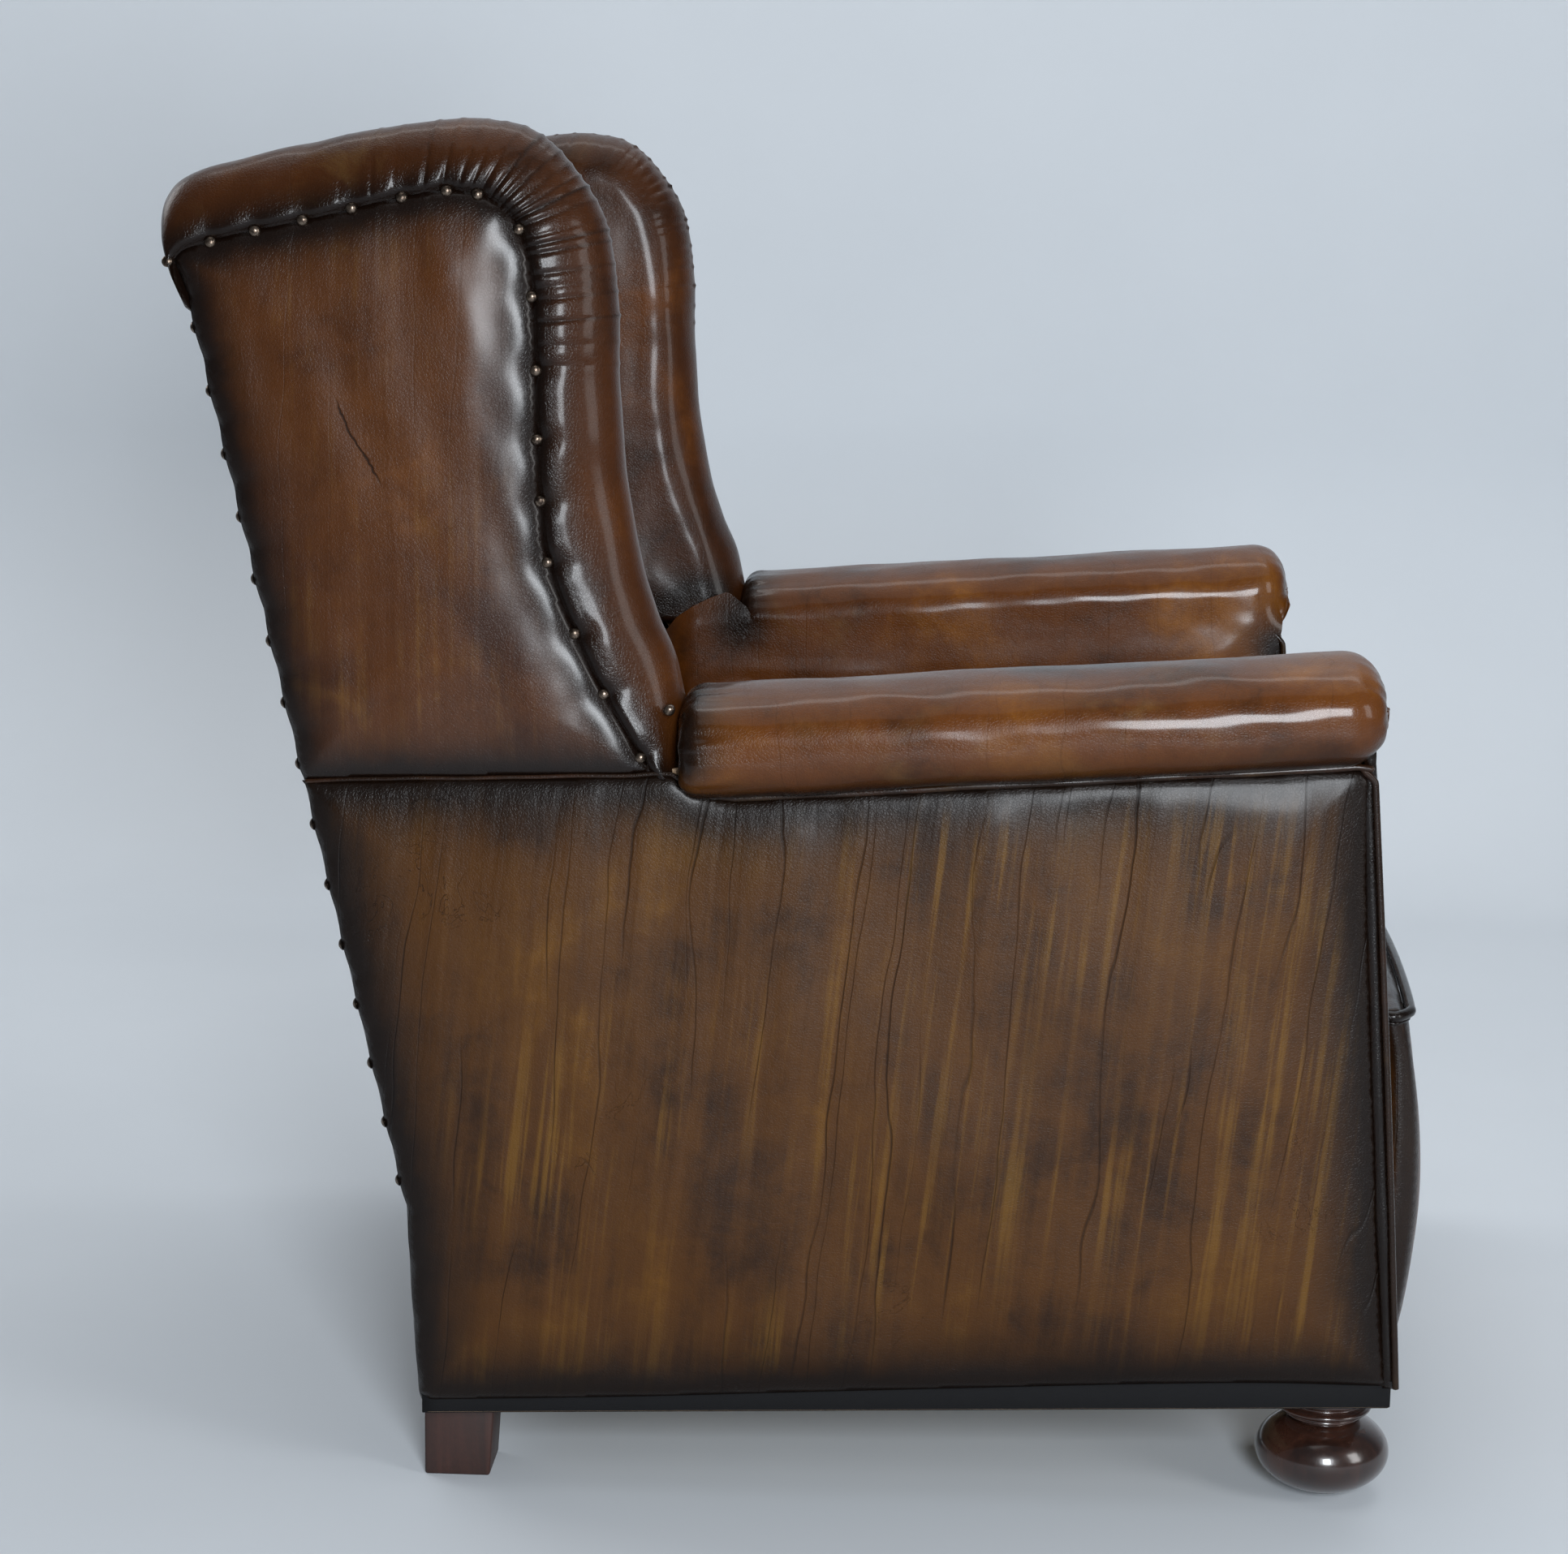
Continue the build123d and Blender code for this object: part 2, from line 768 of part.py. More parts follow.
def make_seat_springing():
    """Webbing, coil springs, hessian and lining, all square to the frame's sole."""
    place = Pos(0, rear_foot_y, rear_foot_height) * Rot(-sole_tilt, 0, 0)
    front_edge = (post_face(low(front_foot_y)) - rear_foot_y + web_setback) * sole_stretch
    rear_edge = (behind(skin, rear_foot_height) - rear_foot_y - web_setback) * sole_stretch
    middle = (front_foot_y - rear_foot_y) / 2 * sole_stretch
    side_edge = frame_half - web_setback
    strips = []
    for step in range(-web_rows, web_rows + 1):
        x = step * web_pitch
        y = middle + step * web_pitch
        half = web_width / 2
        strips.append(box(x - half, x + half, front_edge, rear_edge, -web_thickness, 0))
        strips.append(box(-side_edge, side_edge, y - half, y + half, -web_thickness, 0))
    webbing = strips[0].fuse(*strips[1:])
    save("seat_webbing", place * webbing)

    coil, least = spring(spring_height, spring_radius, spring_waist, spring_wire, spring_turns)
    print("seat spring least gap", round(least, 2))
    springs = []
    for column in (-2, 0, 2):
        for row in range(-web_rows, web_rows - 1, 2):
            spot = Pos(column * web_pitch, middle + row * web_pitch, gap)
            springs.append(place * spot * coil)
    save("seat_springs", *springs)

    hessian_front = (border_plane() + gap - rear_foot_y) * sole_stretch
    hessian_rear = (seat_rear() - rear_foot_y) * sole_stretch
    hessian_low = spring_height + 2 * gap
    sheet = box(-seat_half, seat_half, hessian_front, hessian_rear, hessian_low, hessian_low + cloth)
    save("seat_hessian", place * sheet)

    lining_high = -web_thickness - gap
    half_foot = bun_collar_radius + gap
    inner = front_foot_x - half_foot - lining_inset
    waist_low = (front_foot_y - rear_foot_y + half_foot) * sole_stretch + lining_inset
    waist_high = -(rear_foot_top_depth / 2) * sole_stretch - lining_inset
    outer = frame_half - lining_inset
    narrow = box(-inner, inner, front_edge, rear_edge, lining_high - lining, lining_high)
    wide = box(-outer, outer, waist_low, waist_high, lining_high - lining, lining_high)
    save("dust_lining", place * (narrow + wide))


def seat_points(share, lift):
    """Front, middle and rear (y, z) points of the seat's crowned top at a share of its width."""
    crown = 1 - share * share
    front = (seat_corner_y - seat_bow * crown, seat_edge_height + seat_edge_crown * crown + lift)
    rear_end = (seat_rear(), seat_rear_height + seat_edge_crown * crown + lift)
    middle = ((front[0] + rear_end[0]) / 2, seat_middle_height + seat_crown * crown + lift)
    return front, middle, rear_end


def border_points(share, growth, z_high, z_low):
    """Upper, middle and lower (y, z) points of the bulging front border."""
    crown = 1 - share * share
    edge = seat_corner_y - seat_bow * crown - growth
    bulge = border_bulge + border_bulge_bow * crown
    points = []
    for z in (z_high, (z_high + z_low) / 2, z_low):
        down = (border_top - z) / (border_top - border_low_height)
        points.append((edge - bulge * 4 * down * (1 - down), z))
    return points


def section(x, pieces):
    """Closed face across the chair's side plane, from lines and arcs of (y, z) points."""
    edges = []
    for piece in pieces:
        spots = [(x, y, z) for y, z in piece]
        edges.append(ThreePointArc(*spots) if len(spots) == 3 else Line(*spots))
    return make_face(edges)


def make_seat():
    """Seat stuffing, front border, their leather and the piping between."""
    tops = []
    skins = []
    borders = []
    border_skins = []
    border_back = border_plane()
    for share in station_shares:
        x = share * seat_half
        front, middle, rear_end = seat_points(share, 0)
        base_front = low(front[0]) + seat_stack
        base_rear = low(rear_end[0]) + seat_stack
        upper, bulge, lower = border_points(share, 0, border_top, base_front)
        base = (lower[0], low(lower[0]) + seat_stack)
        tops.append(section(x, [
            (front, middle, rear_end),
            (rear_end, (rear_end[0], base_rear)),
            ((rear_end[0], base_rear), base),
            (base, bulge, upper),
            (upper, front),
        ]))
        near = seat_points(share, soft_gap)
        far = seat_points(share, soft_gap + hide)
        skins.append(section(x, [far, (far[2], near[2]), near[::-1], (near[0], far[0])]))
        high, belly, foot = border_points(share, 0, base_front - 4 * gap, border_low_height)
        borders.append(section(x, [
            (high, belly, foot),
            (foot, (border_back, foot[1])),
            ((border_back, foot[1]), (border_back, high[1])),
            ((border_back, high[1]), high),
        ]))
        skin_near = border_points(share, soft_gap, border_top - gap, border_low_height)
        skin_far = border_points(share, soft_gap + hide, border_top - gap, border_low_height)
        border_skins.append(section(x, [
            skin_far,
            (skin_far[2], skin_near[2]),
            skin_near[::-1],
            (skin_near[0], skin_far[0]),
        ]))
    save("seat_stuffing", loft(tops))
    save("seat_top_leather", loft(skins))
    save("front_border_stuffing", loft(borders))
    save("seat_front_border", loft(border_skins))

    radius = seat_piping_radius
    reach = radius + soft_gap
    z_edge = seat_edge_height + hide - radius + soft_gap
    x_side = seat_half + reach
    corner_y = seat_corner_y - reach
    front = []
    for share in station_shares:
        crown = 1 - share * share
        bowed_y = corner_y - (seat_bow + soft_gap) * crown
        front.append((share * x_side, bowed_y, z_edge + seat_edge_crown * crown))
    end_y = facing(z_edge) - soft_gap
    points = [(-x_side, end_y, z_edge), *front, (x_side, end_y, z_edge)]
    radii = [reach + gap]
    for before, spot, after in zip(front, front[1:], front[2:]):
        come = Vector(*spot) - Vector(*before)
        leave = Vector(*after) - Vector(*spot)
        half_turn = math.radians(come.get_angle(leave)) / 2
        radii.append(seat_piping_ease_share * min(come.length, leave.length) / math.tan(half_turn))
    radii.append(reach + gap)
    path = FilletPolyline(*points, radius=radii)
    profile = Plane(origin=points[0], z_dir=(0, -1, 0)) * Circle(radius)
    save("seat_piping", sweep(profile, path=path))


def outward(points, distance):
    """Points of an open outline, each moved out from it by a distance."""
    moved = []
    for i, (y, z) in enumerate(points):
        before = points[max(i - 1, 0)]
        after = points[min(i + 1, len(points) - 1)]
        run = math.hypot(after[0] - before[0], after[1] - before[1])
        normal = (-(after[1] - before[1]) / run, (after[0] - before[0]) / run)
        moved.append((y + normal[0] * distance, z + normal[1] * distance))
    return moved


def back_points(share):
    """Inside back's profile from the seat up and over the crest, as five (y, z) points."""
    crown = 1 - share * share
    foot = (behind(back_low_depth, back_low_height) - back_crown * crown, back_low_height)
    crest_y = behind(back_crest_depth, back_crest_height) - back_crest_crown * crown
    crest = (crest_y, back_crest_height)
    run = math.hypot(crest[0] - foot[0], crest[1] - foot[1])
    bulge = back_bulge + (back_crown - back_crest_crown) * crown
    belly = (
        (foot[0] + crest[0]) / 2 - bulge * (crest[1] - foot[1]) / run,
        (foot[1] + crest[1]) / 2 + bulge * (crest[0] - foot[0]) / run,
    )
    inset = hide + soft_gap + gap
    tail = (rear_y - inset, back_crest_height)
    top = ((crest[0] + tail[0]) / 2, back_crest_height + back_roll_rise)
    return foot, belly, crest, top, tail


def make_back():
    """Back webbing, springs and hessian, stuffing, and the leather over it."""
    turn = Rot(90 - back_rake, 0, 0)

    def on_back(x, depth, z):
        return Pos(x, behind(depth, z), z) * turn

    span = crest_rail_height - tacking_rail_height + tacking_rail_depth
    mid_z = tacking_rail_height + tacking_rail_depth / 2 + span / 2
    slant = 1 / math.cos(math.radians(back_rake))
    strips = []
    across = 2 * (back_post_inner + back_web_lap)
    for step in range(-back_web_reach, back_web_reach + 1):
        strip = Box(web_width, span * slant, web_thickness)
        place = on_back(step * back_web_pitch, posts_front, mid_z)
        strips.append(place * Pos(0, 0, web_thickness / 2) * strip)
    for row in range(back_web_rows):
        strip = Box(across, web_width, web_thickness)
        place = on_back(0, posts_front, back_web_low_height + row * back_web_pitch)
        strips.append(place * Pos(0, 0, web_thickness / 2) * strip)
    save("back_webbing", strips[0].fuse(*strips[1:]))

    coil, least = spring(back_spring_length, back_spring_radius, back_spring_waist,
                         back_spring_wire, back_spring_turns)
    print("back spring least gap", round(least, 2))
    springs = []
    square = math.cos(math.radians(back_rake))
    for step in range(-back_web_reach, back_web_reach + 1):
        for row in range(back_web_rows - 1):
            z = back_web_low_height + row * back_web_pitch
            place = on_back(step * back_web_pitch, posts_front, z)
            springs.append(place * Pos(0, 0, web_thickness + gap) * coil)
    save("back_springs", *springs)

    cloth_rise = web_thickness + back_spring_length + 2 * gap
    middle_z = back_web_low_height + (back_web_rows - 2) * back_web_pitch / 2
    tall = (back_web_rows - 1) * back_web_pitch + 2 * back_spring_radius
    sheet = Box(2 * back_half_width - web_width, tall, cloth)
    place = on_back(0, posts_front, middle_z)
    save("back_hessian", place * Pos(0, 0, cloth_rise + cloth / 2) * sheet)

    stack = posts_front + (cloth_rise + cloth + gap) / square
    stuffings = []
    skins = []
    z_crest = crest_top + gap
    thin = (web_thickness + gap) / square + posts_front
    for share in station_shares:
        x = share * back_half_width
        foot, belly, crest, top, tail = back_points(share)
        corners = [
            tail,
            (tail[0] - soft_gap, z_crest),
            (behind(thin, z_crest), z_crest),
            (behind(thin, back_step_height), back_step_height),
            (behind(stack, back_step_height), back_step_height),
            (behind(stack, back_skirt_height), back_skirt_height),
            (foot[0], back_skirt_height),
            foot,
        ]
        lines = list(zip(corners, corners[1:]))
        stuffings.append(section(x, [(foot, belly, crest), (crest, top, tail), *lines]))
        near = outward(back_points(share), soft_gap)
        far = outward(back_points(share), soft_gap + hide)
        skins.append(section(x, [
            tuple(far[:3]),
            tuple(far[2:]),
            (far[4], near[4]),
            (near[4], near[3], near[2]),
            (near[2], near[1], near[0]),
            (near[0], (near[0][0], back_skirt_height)),
            ((near[0][0], back_skirt_height), (far[0][0], back_skirt_height)),
            ((far[0][0], back_skirt_height), far[0]),
        ]))
    stuffing = loft(stuffings)
    skin_solid = loft(skins)
    for side in (-1, 1):
        x_low, x_high = sorted((side * seat_half, side * roll_outer))
        notch = box(x_low, x_high, 0, rear_y, 0, wing_base)
        stuffing = stuffing - notch
        skin_solid = skin_solid - notch
    save("back_stuffing", stuffing)
    save("inside_back_leather", skin_solid)

    edge = frame_half - gap
    foot_z = low(rear(rear_foot_height)) + panel
    points = [
        (rear(foot_z), foot_z),
        (rear(knee_height), knee_height),
        (rear(outside_back_top), outside_back_top),
        (behind(panel, outside_back_top), outside_back_top),
        (behind(panel, knee_height), knee_height),
        (behind(panel, foot_z), foot_z),
    ]
    save("outside_back", plate(points, -edge + seam_opening, edge - seam_opening))


def make_arms():
    """Arm rolls, inside arms, facings, welts and the outside arm covers."""
    shell = roll_form(0, 0) - roll_form(hide, hide)
    shell = shell - sloped_box(roll_inner + hide, body_half_width, -cut_over, hide + gap)
    sheet_top = wing_base - gap
    step_y = arm_rear_y
    low_z = inside_arm_low_height
    top_z = welt(arm_front_y)
    front_z = facing(low_z) + gap
    sheet = plate([
        (front_z, low_z),
        (inside_arm_rear_y, low_z),
        (inside_arm_rear_y, sheet_top),
        (step_y, sheet_top),
        (step_y, welt(step_y) + gap),
        (facing(top_z) + gap, welt(facing(top_z)) + gap),
    ], roll_inner, roll_inner + hide)
    save_pair("arm_leather", shell + sheet)

    filling = roll_form(hide + gap, hide + gap)
    filling = filling - sloped_box(board_inner - gap, frame_half + gap, -gap,
                                   arm_board_thickness + 2 * gap)
    save_pair("arm_roll_stuffing", filling)
    pad = plate([
        (post_back(low_z) + gap, low_z),
        (inside_arm_rear_y, low_z),
        (inside_arm_rear_y, sheet_top),
        (step_y + gap, sheet_top),
        (step_y + gap, welt(step_y)),
        (post_back(top_z) + gap, welt(post_back(top_z))),
    ], slab_inner, board_inner - gap)
    pad_front = post_face(low_z) + gap
    pad_top = post_face(top_z) + gap
    post_pad = plate([
        (pad_front, low_z),
        (post_back(low_z) + 2 * gap, low_z),
        (post_back(top_z) + 2 * gap, welt(post_back(top_z) + gap)),
        (pad_top, welt(pad_top)),
    ], slab_inner, post_inner - gap)
    save_pair("inside_arm_stuffing", pad + post_pad)

    face_low = cover_low(arm_front_y)
    face_top = welt(arm_front_y) - gap
    save_pair("arm_facing", plate([
        (facing(face_low), face_low),
        (facing(face_low) + panel, face_low),
        (facing(face_top) + panel, face_top),
        (facing(face_top), face_top),
    ], slab_inner, body_half_width))

    panel_front = panel + gap
    mid_z = mid_seam_height - gap
    side_points = [
        (rear(cover_low_rear), cover_low_rear),
        (rear(knee_height), knee_height),
        (rear(mid_z), mid_z),
        (wing_front_y, mid_z),
        (wing_front_y, welt(wing_front_y)),
        (facing(face_top) + panel_front, welt(facing(face_top) + panel_front)),
        (facing(face_low) + panel_front, face_low),
    ]
    save_pair("outside_arm", plate(side_points, frame_half + gap, body_half_width))

    x = body_half_width + welt_radius + gap
    drop = welt_radius + 2 * gap
    start_y = facing(face_top)
    end_y = wing_front_y - gap
    start = (x, start_y, welt(start_y) - drop)
    welt_rod = rod(start, (x, end_y, welt(end_y) - drop), welt_radius)
    save("arm_welts", welt_rod, mirrored(welt_rod))

    radius = facing_piping_radius
    outer_x = body_half_width + radius + gap
    inner_x = slab_inner + radius
    pipe_top = face_top - 4 * radius
    inner_top = border_top - 2 * radius
    outer = rod(
        (outer_x, facing(face_low) + radius, face_low),
        (outer_x, facing(pipe_top) + radius, pipe_top), radius
    )
    inner = rod(
        (inner_x, facing(face_low) - radius - gap, face_low),
        (inner_x, facing(inner_top) - radius - gap, inner_top), radius
    )
    save("facing_piping", outer, inner, mirrored(outer), mirrored(inner))


def make_wings():
    """Wing stuffing, wing covers and the outside wing panels."""
    zone = thick(wing_panel_face(seam_opening), wing_board_inner - gap, roll_outer)
    rear_part = back_zone(web_front + 2 * gap, crest_top + gap, 0)
    save_pair("wing_stuffing", wing_form(hide + gap) - zone - rear_part)
    save_pair("wing_leather", wing_form(0) - wing_form(hide) - zone - rear_part)
    save_pair("outside_wing", thick(wing_panel_face(-seam_opening), frame_half + gap, body_half_width))


def make_nail():
    """Domed nail on +z, its shank below."""
    sphere = (nail_radius * nail_radius + nail_rise * nail_rise) / (2 * nail_rise)
    centre = nail_rise - sphere
    rim = math.atan2(-centre, nail_radius)
    half_way = (rim + math.pi / 2) / 2
    shoulder = (sphere * math.cos(half_way), centre + sphere * math.sin(half_way))
    edges = [
        ThreePointArc((nail_radius, 0), shoulder, (0, nail_rise)),
        Line((0, nail_rise), (0, -nail_shank_length)),
        Line((0, -nail_shank_length), (nail_shank_radius, -nail_shank_length)),
        Line((nail_shank_radius, -nail_shank_length), (nail_shank_radius, 0)),
        Line((nail_shank_radius, 0), (nail_radius, 0)),
    ]
    return revolve(Plane.XZ * make_face(edges), axis=Axis.Z)


def make_nails():
    """Nails along the wing seams and down both edges of the outside back."""
    nail = make_nail()
    path = seam_path()
    spots = []
    for number in range(wing_nail_count):
        spot = path @ ((number + 0.5) / wing_nail_count)
        plane = Plane(origin=(body_half_width + gap, spot.Y, spot.Z), x_dir=(0, 1, 0), z_dir=(1, 0, 0))
        spots.append(plane * nail)
    save("wing_nails", *spots, *[mirrored(part) for part in spots])

    x = frame_half + (gap - seam_opening) / 2
    rake = math.radians(back_rake)
    heads = []
    rows = int((outside_back_top - knee_height) / back_nail_pitch)
    for number in range(rows):
        z = knee_height + (number + 0.5) * back_nail_pitch
        normal = (0, math.cos(rake), -math.sin(rake))
        plane = Plane(origin=(x, rear(z) + gap, z), x_dir=(1, 0, 0), z_dir=normal)
        heads.append(plane * nail)
    save("back_nails", *heads, *[mirrored(part) for part in heads])


os.makedirs("parts", exist_ok=True)
holes = make_feet()
make_frame(*holes)
make_seat_springing()
make_seat()
make_back()
make_arms()
make_wings()
make_nails()
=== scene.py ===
"""Antique wing-back reading chair in hand-dyed leather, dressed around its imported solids.

Sizes are in millimetres until a mesh is made. The chair faces -Y, +X is the sitter's left
and +Z is up. Pieces of one side are made for the sitter's left and mirrored for the right.
"""

import logging
import math
from dataclasses import dataclass, field
from enum import Enum
from typing import Callable, Optional, Sequence, Union

import bmesh
import bpy
import numpy as np
from mathutils import Matrix, Vector
from mathutils.geometry import delaunay_2d_cdt

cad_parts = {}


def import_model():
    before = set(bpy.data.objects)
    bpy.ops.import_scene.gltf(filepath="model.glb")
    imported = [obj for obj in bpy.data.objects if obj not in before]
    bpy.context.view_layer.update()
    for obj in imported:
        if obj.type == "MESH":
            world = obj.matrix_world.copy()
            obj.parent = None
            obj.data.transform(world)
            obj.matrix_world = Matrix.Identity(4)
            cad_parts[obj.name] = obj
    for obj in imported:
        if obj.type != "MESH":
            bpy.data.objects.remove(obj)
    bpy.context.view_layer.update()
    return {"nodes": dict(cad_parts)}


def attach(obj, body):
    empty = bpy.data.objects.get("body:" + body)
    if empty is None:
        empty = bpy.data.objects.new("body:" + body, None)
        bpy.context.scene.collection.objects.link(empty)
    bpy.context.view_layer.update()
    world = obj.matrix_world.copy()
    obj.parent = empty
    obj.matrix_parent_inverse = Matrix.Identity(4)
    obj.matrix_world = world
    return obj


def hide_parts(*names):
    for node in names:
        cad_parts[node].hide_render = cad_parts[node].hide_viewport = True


LOG = logging.getLogger("reading_chair")
MM = 0.001
ROOT = "root"
SINES = 14

Colour = tuple[float, float, float]
Point2 = tuple[float, float]


class Side(Enum):
    """A side of the chair, as the sign of its x."""

    LEFT = 1
    RIGHT = -1

    @property
    def word(self) -> str:
        """Name of the side, as in the names of the solids."""
        return self.name.lower()


# Shader maths


class Wire:
    """A socket in a node tree, or a number, with Python's arithmetic on it."""

    def __init__(self, shader: "Shader", socket: bpy.types.NodeSocket) -> None:
        """Keep the tree and the socket that the value comes out of."""
        self.shader = shader
        self.socket = socket

    def _math(self, operation: str, *values: Union["Wire", float]) -> "Wire":
        """Add one Math node.

        Args:
            operation: The node's operation.
            values: Its inputs in order.

        Returns:
            The node's result.
        """
        return self.shader.node(
            "ShaderNodeMath", {"operation": operation}, dict(enumerate(values))
        )

    def __add__(self, other: Union["Wire", float]) -> "Wire":
        """Sum."""
        return self._math("ADD", self, other)

    __radd__ = __add__

    def __mul__(self, other: Union["Wire", float]) -> "Wire":
        """Product."""
        return self._math("MULTIPLY", self, other)

    __rmul__ = __mul__

    def __sub__(self, other: Union["Wire", float]) -> "Wire":
        """Difference."""
        return self._math("SUBTRACT", self, other)

    def __rsub__(self, other: float) -> "Wire":
        """Difference, with the number first."""
        return self._math("SUBTRACT", other, self)

    def __abs__(self) -> "Wire":
        """Size without sign."""
        return self._math("ABSOLUTE", self)

    def sine(self) -> "Wire":
        """Sine of an angle."""
        return self._math("SINE", self)

    def fraction(self) -> "Wire":
        """What is left after the whole number."""
        return self._math("FRACT", self)

    def peak(self, other: Union["Wire", float]) -> "Wire":
        """The larger of two values."""
        return self._math("MAXIMUM", self, other)

    def span(self, low: float, high: float) -> "Wire":
        """Smooth step.

        Args:
            low: Value that becomes 0.
            high: Value that becomes 1, above or below low.

        Returns:
            The value between 0 and 1.
        """
        first, last = (low, high) if low < high else (high, low)
        step = self.shader.node(
            "ShaderNodeMapRange",
            {"interpolation_type": "SMOOTHSTEP"},
            {"Value": self, "From Min": first, "From Max": last},
        )
        return step if low < high else 1 - step


class Shader:
    """Node tree of one material while it is built."""

    def __init__(self, name: str) -> None:
        """Start an empty material.

        Args:
            name: The material's name.
        """
        self.material = bpy.data.materials.new(name)
        self.material.use_nodes = True
        self.tree = self.material.node_tree
        self.tree.nodes.clear()
        self.place = self.node("ShaderNodeTexCoord", output="Object")

    def node(
        self,
        kind: str,
        settings: Optional[dict] = None,
        inputs: Optional[dict] = None,
        output: Union[int, str] = 0,
    ) -> Wire:
        """Add one node.

        Args:
            kind: The node's type.
            settings: Its properties.
            inputs: Values or wires by socket name or number.
            output: The socket to return.

        Returns:
            The wire out of the node.
        """
        made = self.tree.nodes.new(kind)
        for key, value in (settings or {}).items():
            setattr(made, key, value)
        for key, value in (inputs or {}).items():
            if isinstance(value, Wire):
                self.tree.links.new(value.socket, made.inputs[key])
            elif value is not None:
                made.inputs[key].default_value = value
        return Wire(self, made.outputs[output] if len(made.outputs) else None)

    def axis(self, place: Wire, number: int) -> Wire:
        """One coordinate of a place: 0 for x, 1 for y and 2 for z."""
        return self.node("ShaderNodeSeparateXYZ", inputs={"Vector": place}, output=number)

    def noise(
        self, scale: float, detail: float = 3.0, rough: float = 0.55,
        at: Optional[Wire] = None, warp: float = 0.0,
    ) -> Wire:
        """Soft random field.

        Args:
            scale: Features per metre.
            detail: Number of finer layers.
            rough: Strength of the finer layers.
            at: Place to read it at, or the surface's own.
            warp: Distortion.

        Returns:
            A value around one half.
        """
        return self.node(
            "ShaderNodeTexNoise",
            inputs={"Vector": at or self.place, "Scale": scale, "Detail": detail,
                    "Roughness": rough, "Distortion": warp},
        )

    def stretched(self, scale: Colour, turn: Colour = (0.0, 0.0, 0.0)) -> Wire:
        """The surface's place, scaled along each axis.

        Args:
            scale: Factor along x, y and z.
            turn: Rotation before it, in radians.

        Returns:
            The scaled place.
        """
        turned = self.node(
            "ShaderNodeMapping", {"vector_type": "POINT"},
            {"Vector": self.place, "Rotation": turn, "Scale": (1.0, 1.0, 1.0)},
        )
        return self.node(
            "ShaderNodeVectorMath", {"operation": "MULTIPLY"}, {0: turned, 1: scale}
        )

    def blend(self, base: Union[Wire, Colour], top: Union[Wire, Colour], share: Wire) -> Wire:
        """Mix two colours.

        Args:
            base: Colour at share 0.
            top: Colour at share 1.
            share: Share of the top colour.

        Returns:
            The mixed colour.
        """
        values = [value if isinstance(value, Wire) else (*value, 1.0) for value in (base, top)]
        return self.node(
            "ShaderNodeMix", {"data_type": "RGBA", "clamp_factor": True},
            {0: share, 6: values[0], 7: values[1]}, output=2,
        )

    def attribute(self, name: str) -> Wire:
        """Value of that name that the mesh holds at each of its points."""
        return self.node("ShaderNodeAttribute", {"attribute_name": name}, output="Fac")

    def bump(self, height: Wire, reach: float, strength: float = 1.0,
             under: Optional[Wire] = None) -> Wire:
        """Normal that follows a height.

        Args:
            height: The height field, around 0 to 1.
            reach: Depth in metres of a height of 1.
            strength: Share of the effect.
            under: Normal from another bump.

        Returns:
            The normal.
        """
        return self.node(
            "ShaderNodeBump",
            inputs={"Height": height, "Distance": reach, "Strength": strength, "Normal": under},
        )

    def surface(self, **inputs: Union[Wire, float]) -> bpy.types.Material:
        """Join everything in the one surface shader.

        Args:
            inputs: Values or wires by the shader's socket names, with _ for a space.

        Returns:
            The finished material.
        """
        named = {key.replace("_", " "): value for key, value in inputs.items()}
        shader = self.node("ShaderNodeBsdfPrincipled", inputs=named)
        self.node("ShaderNodeOutputMaterial", inputs={"Surface": shader})
        return self.material


# Finishes


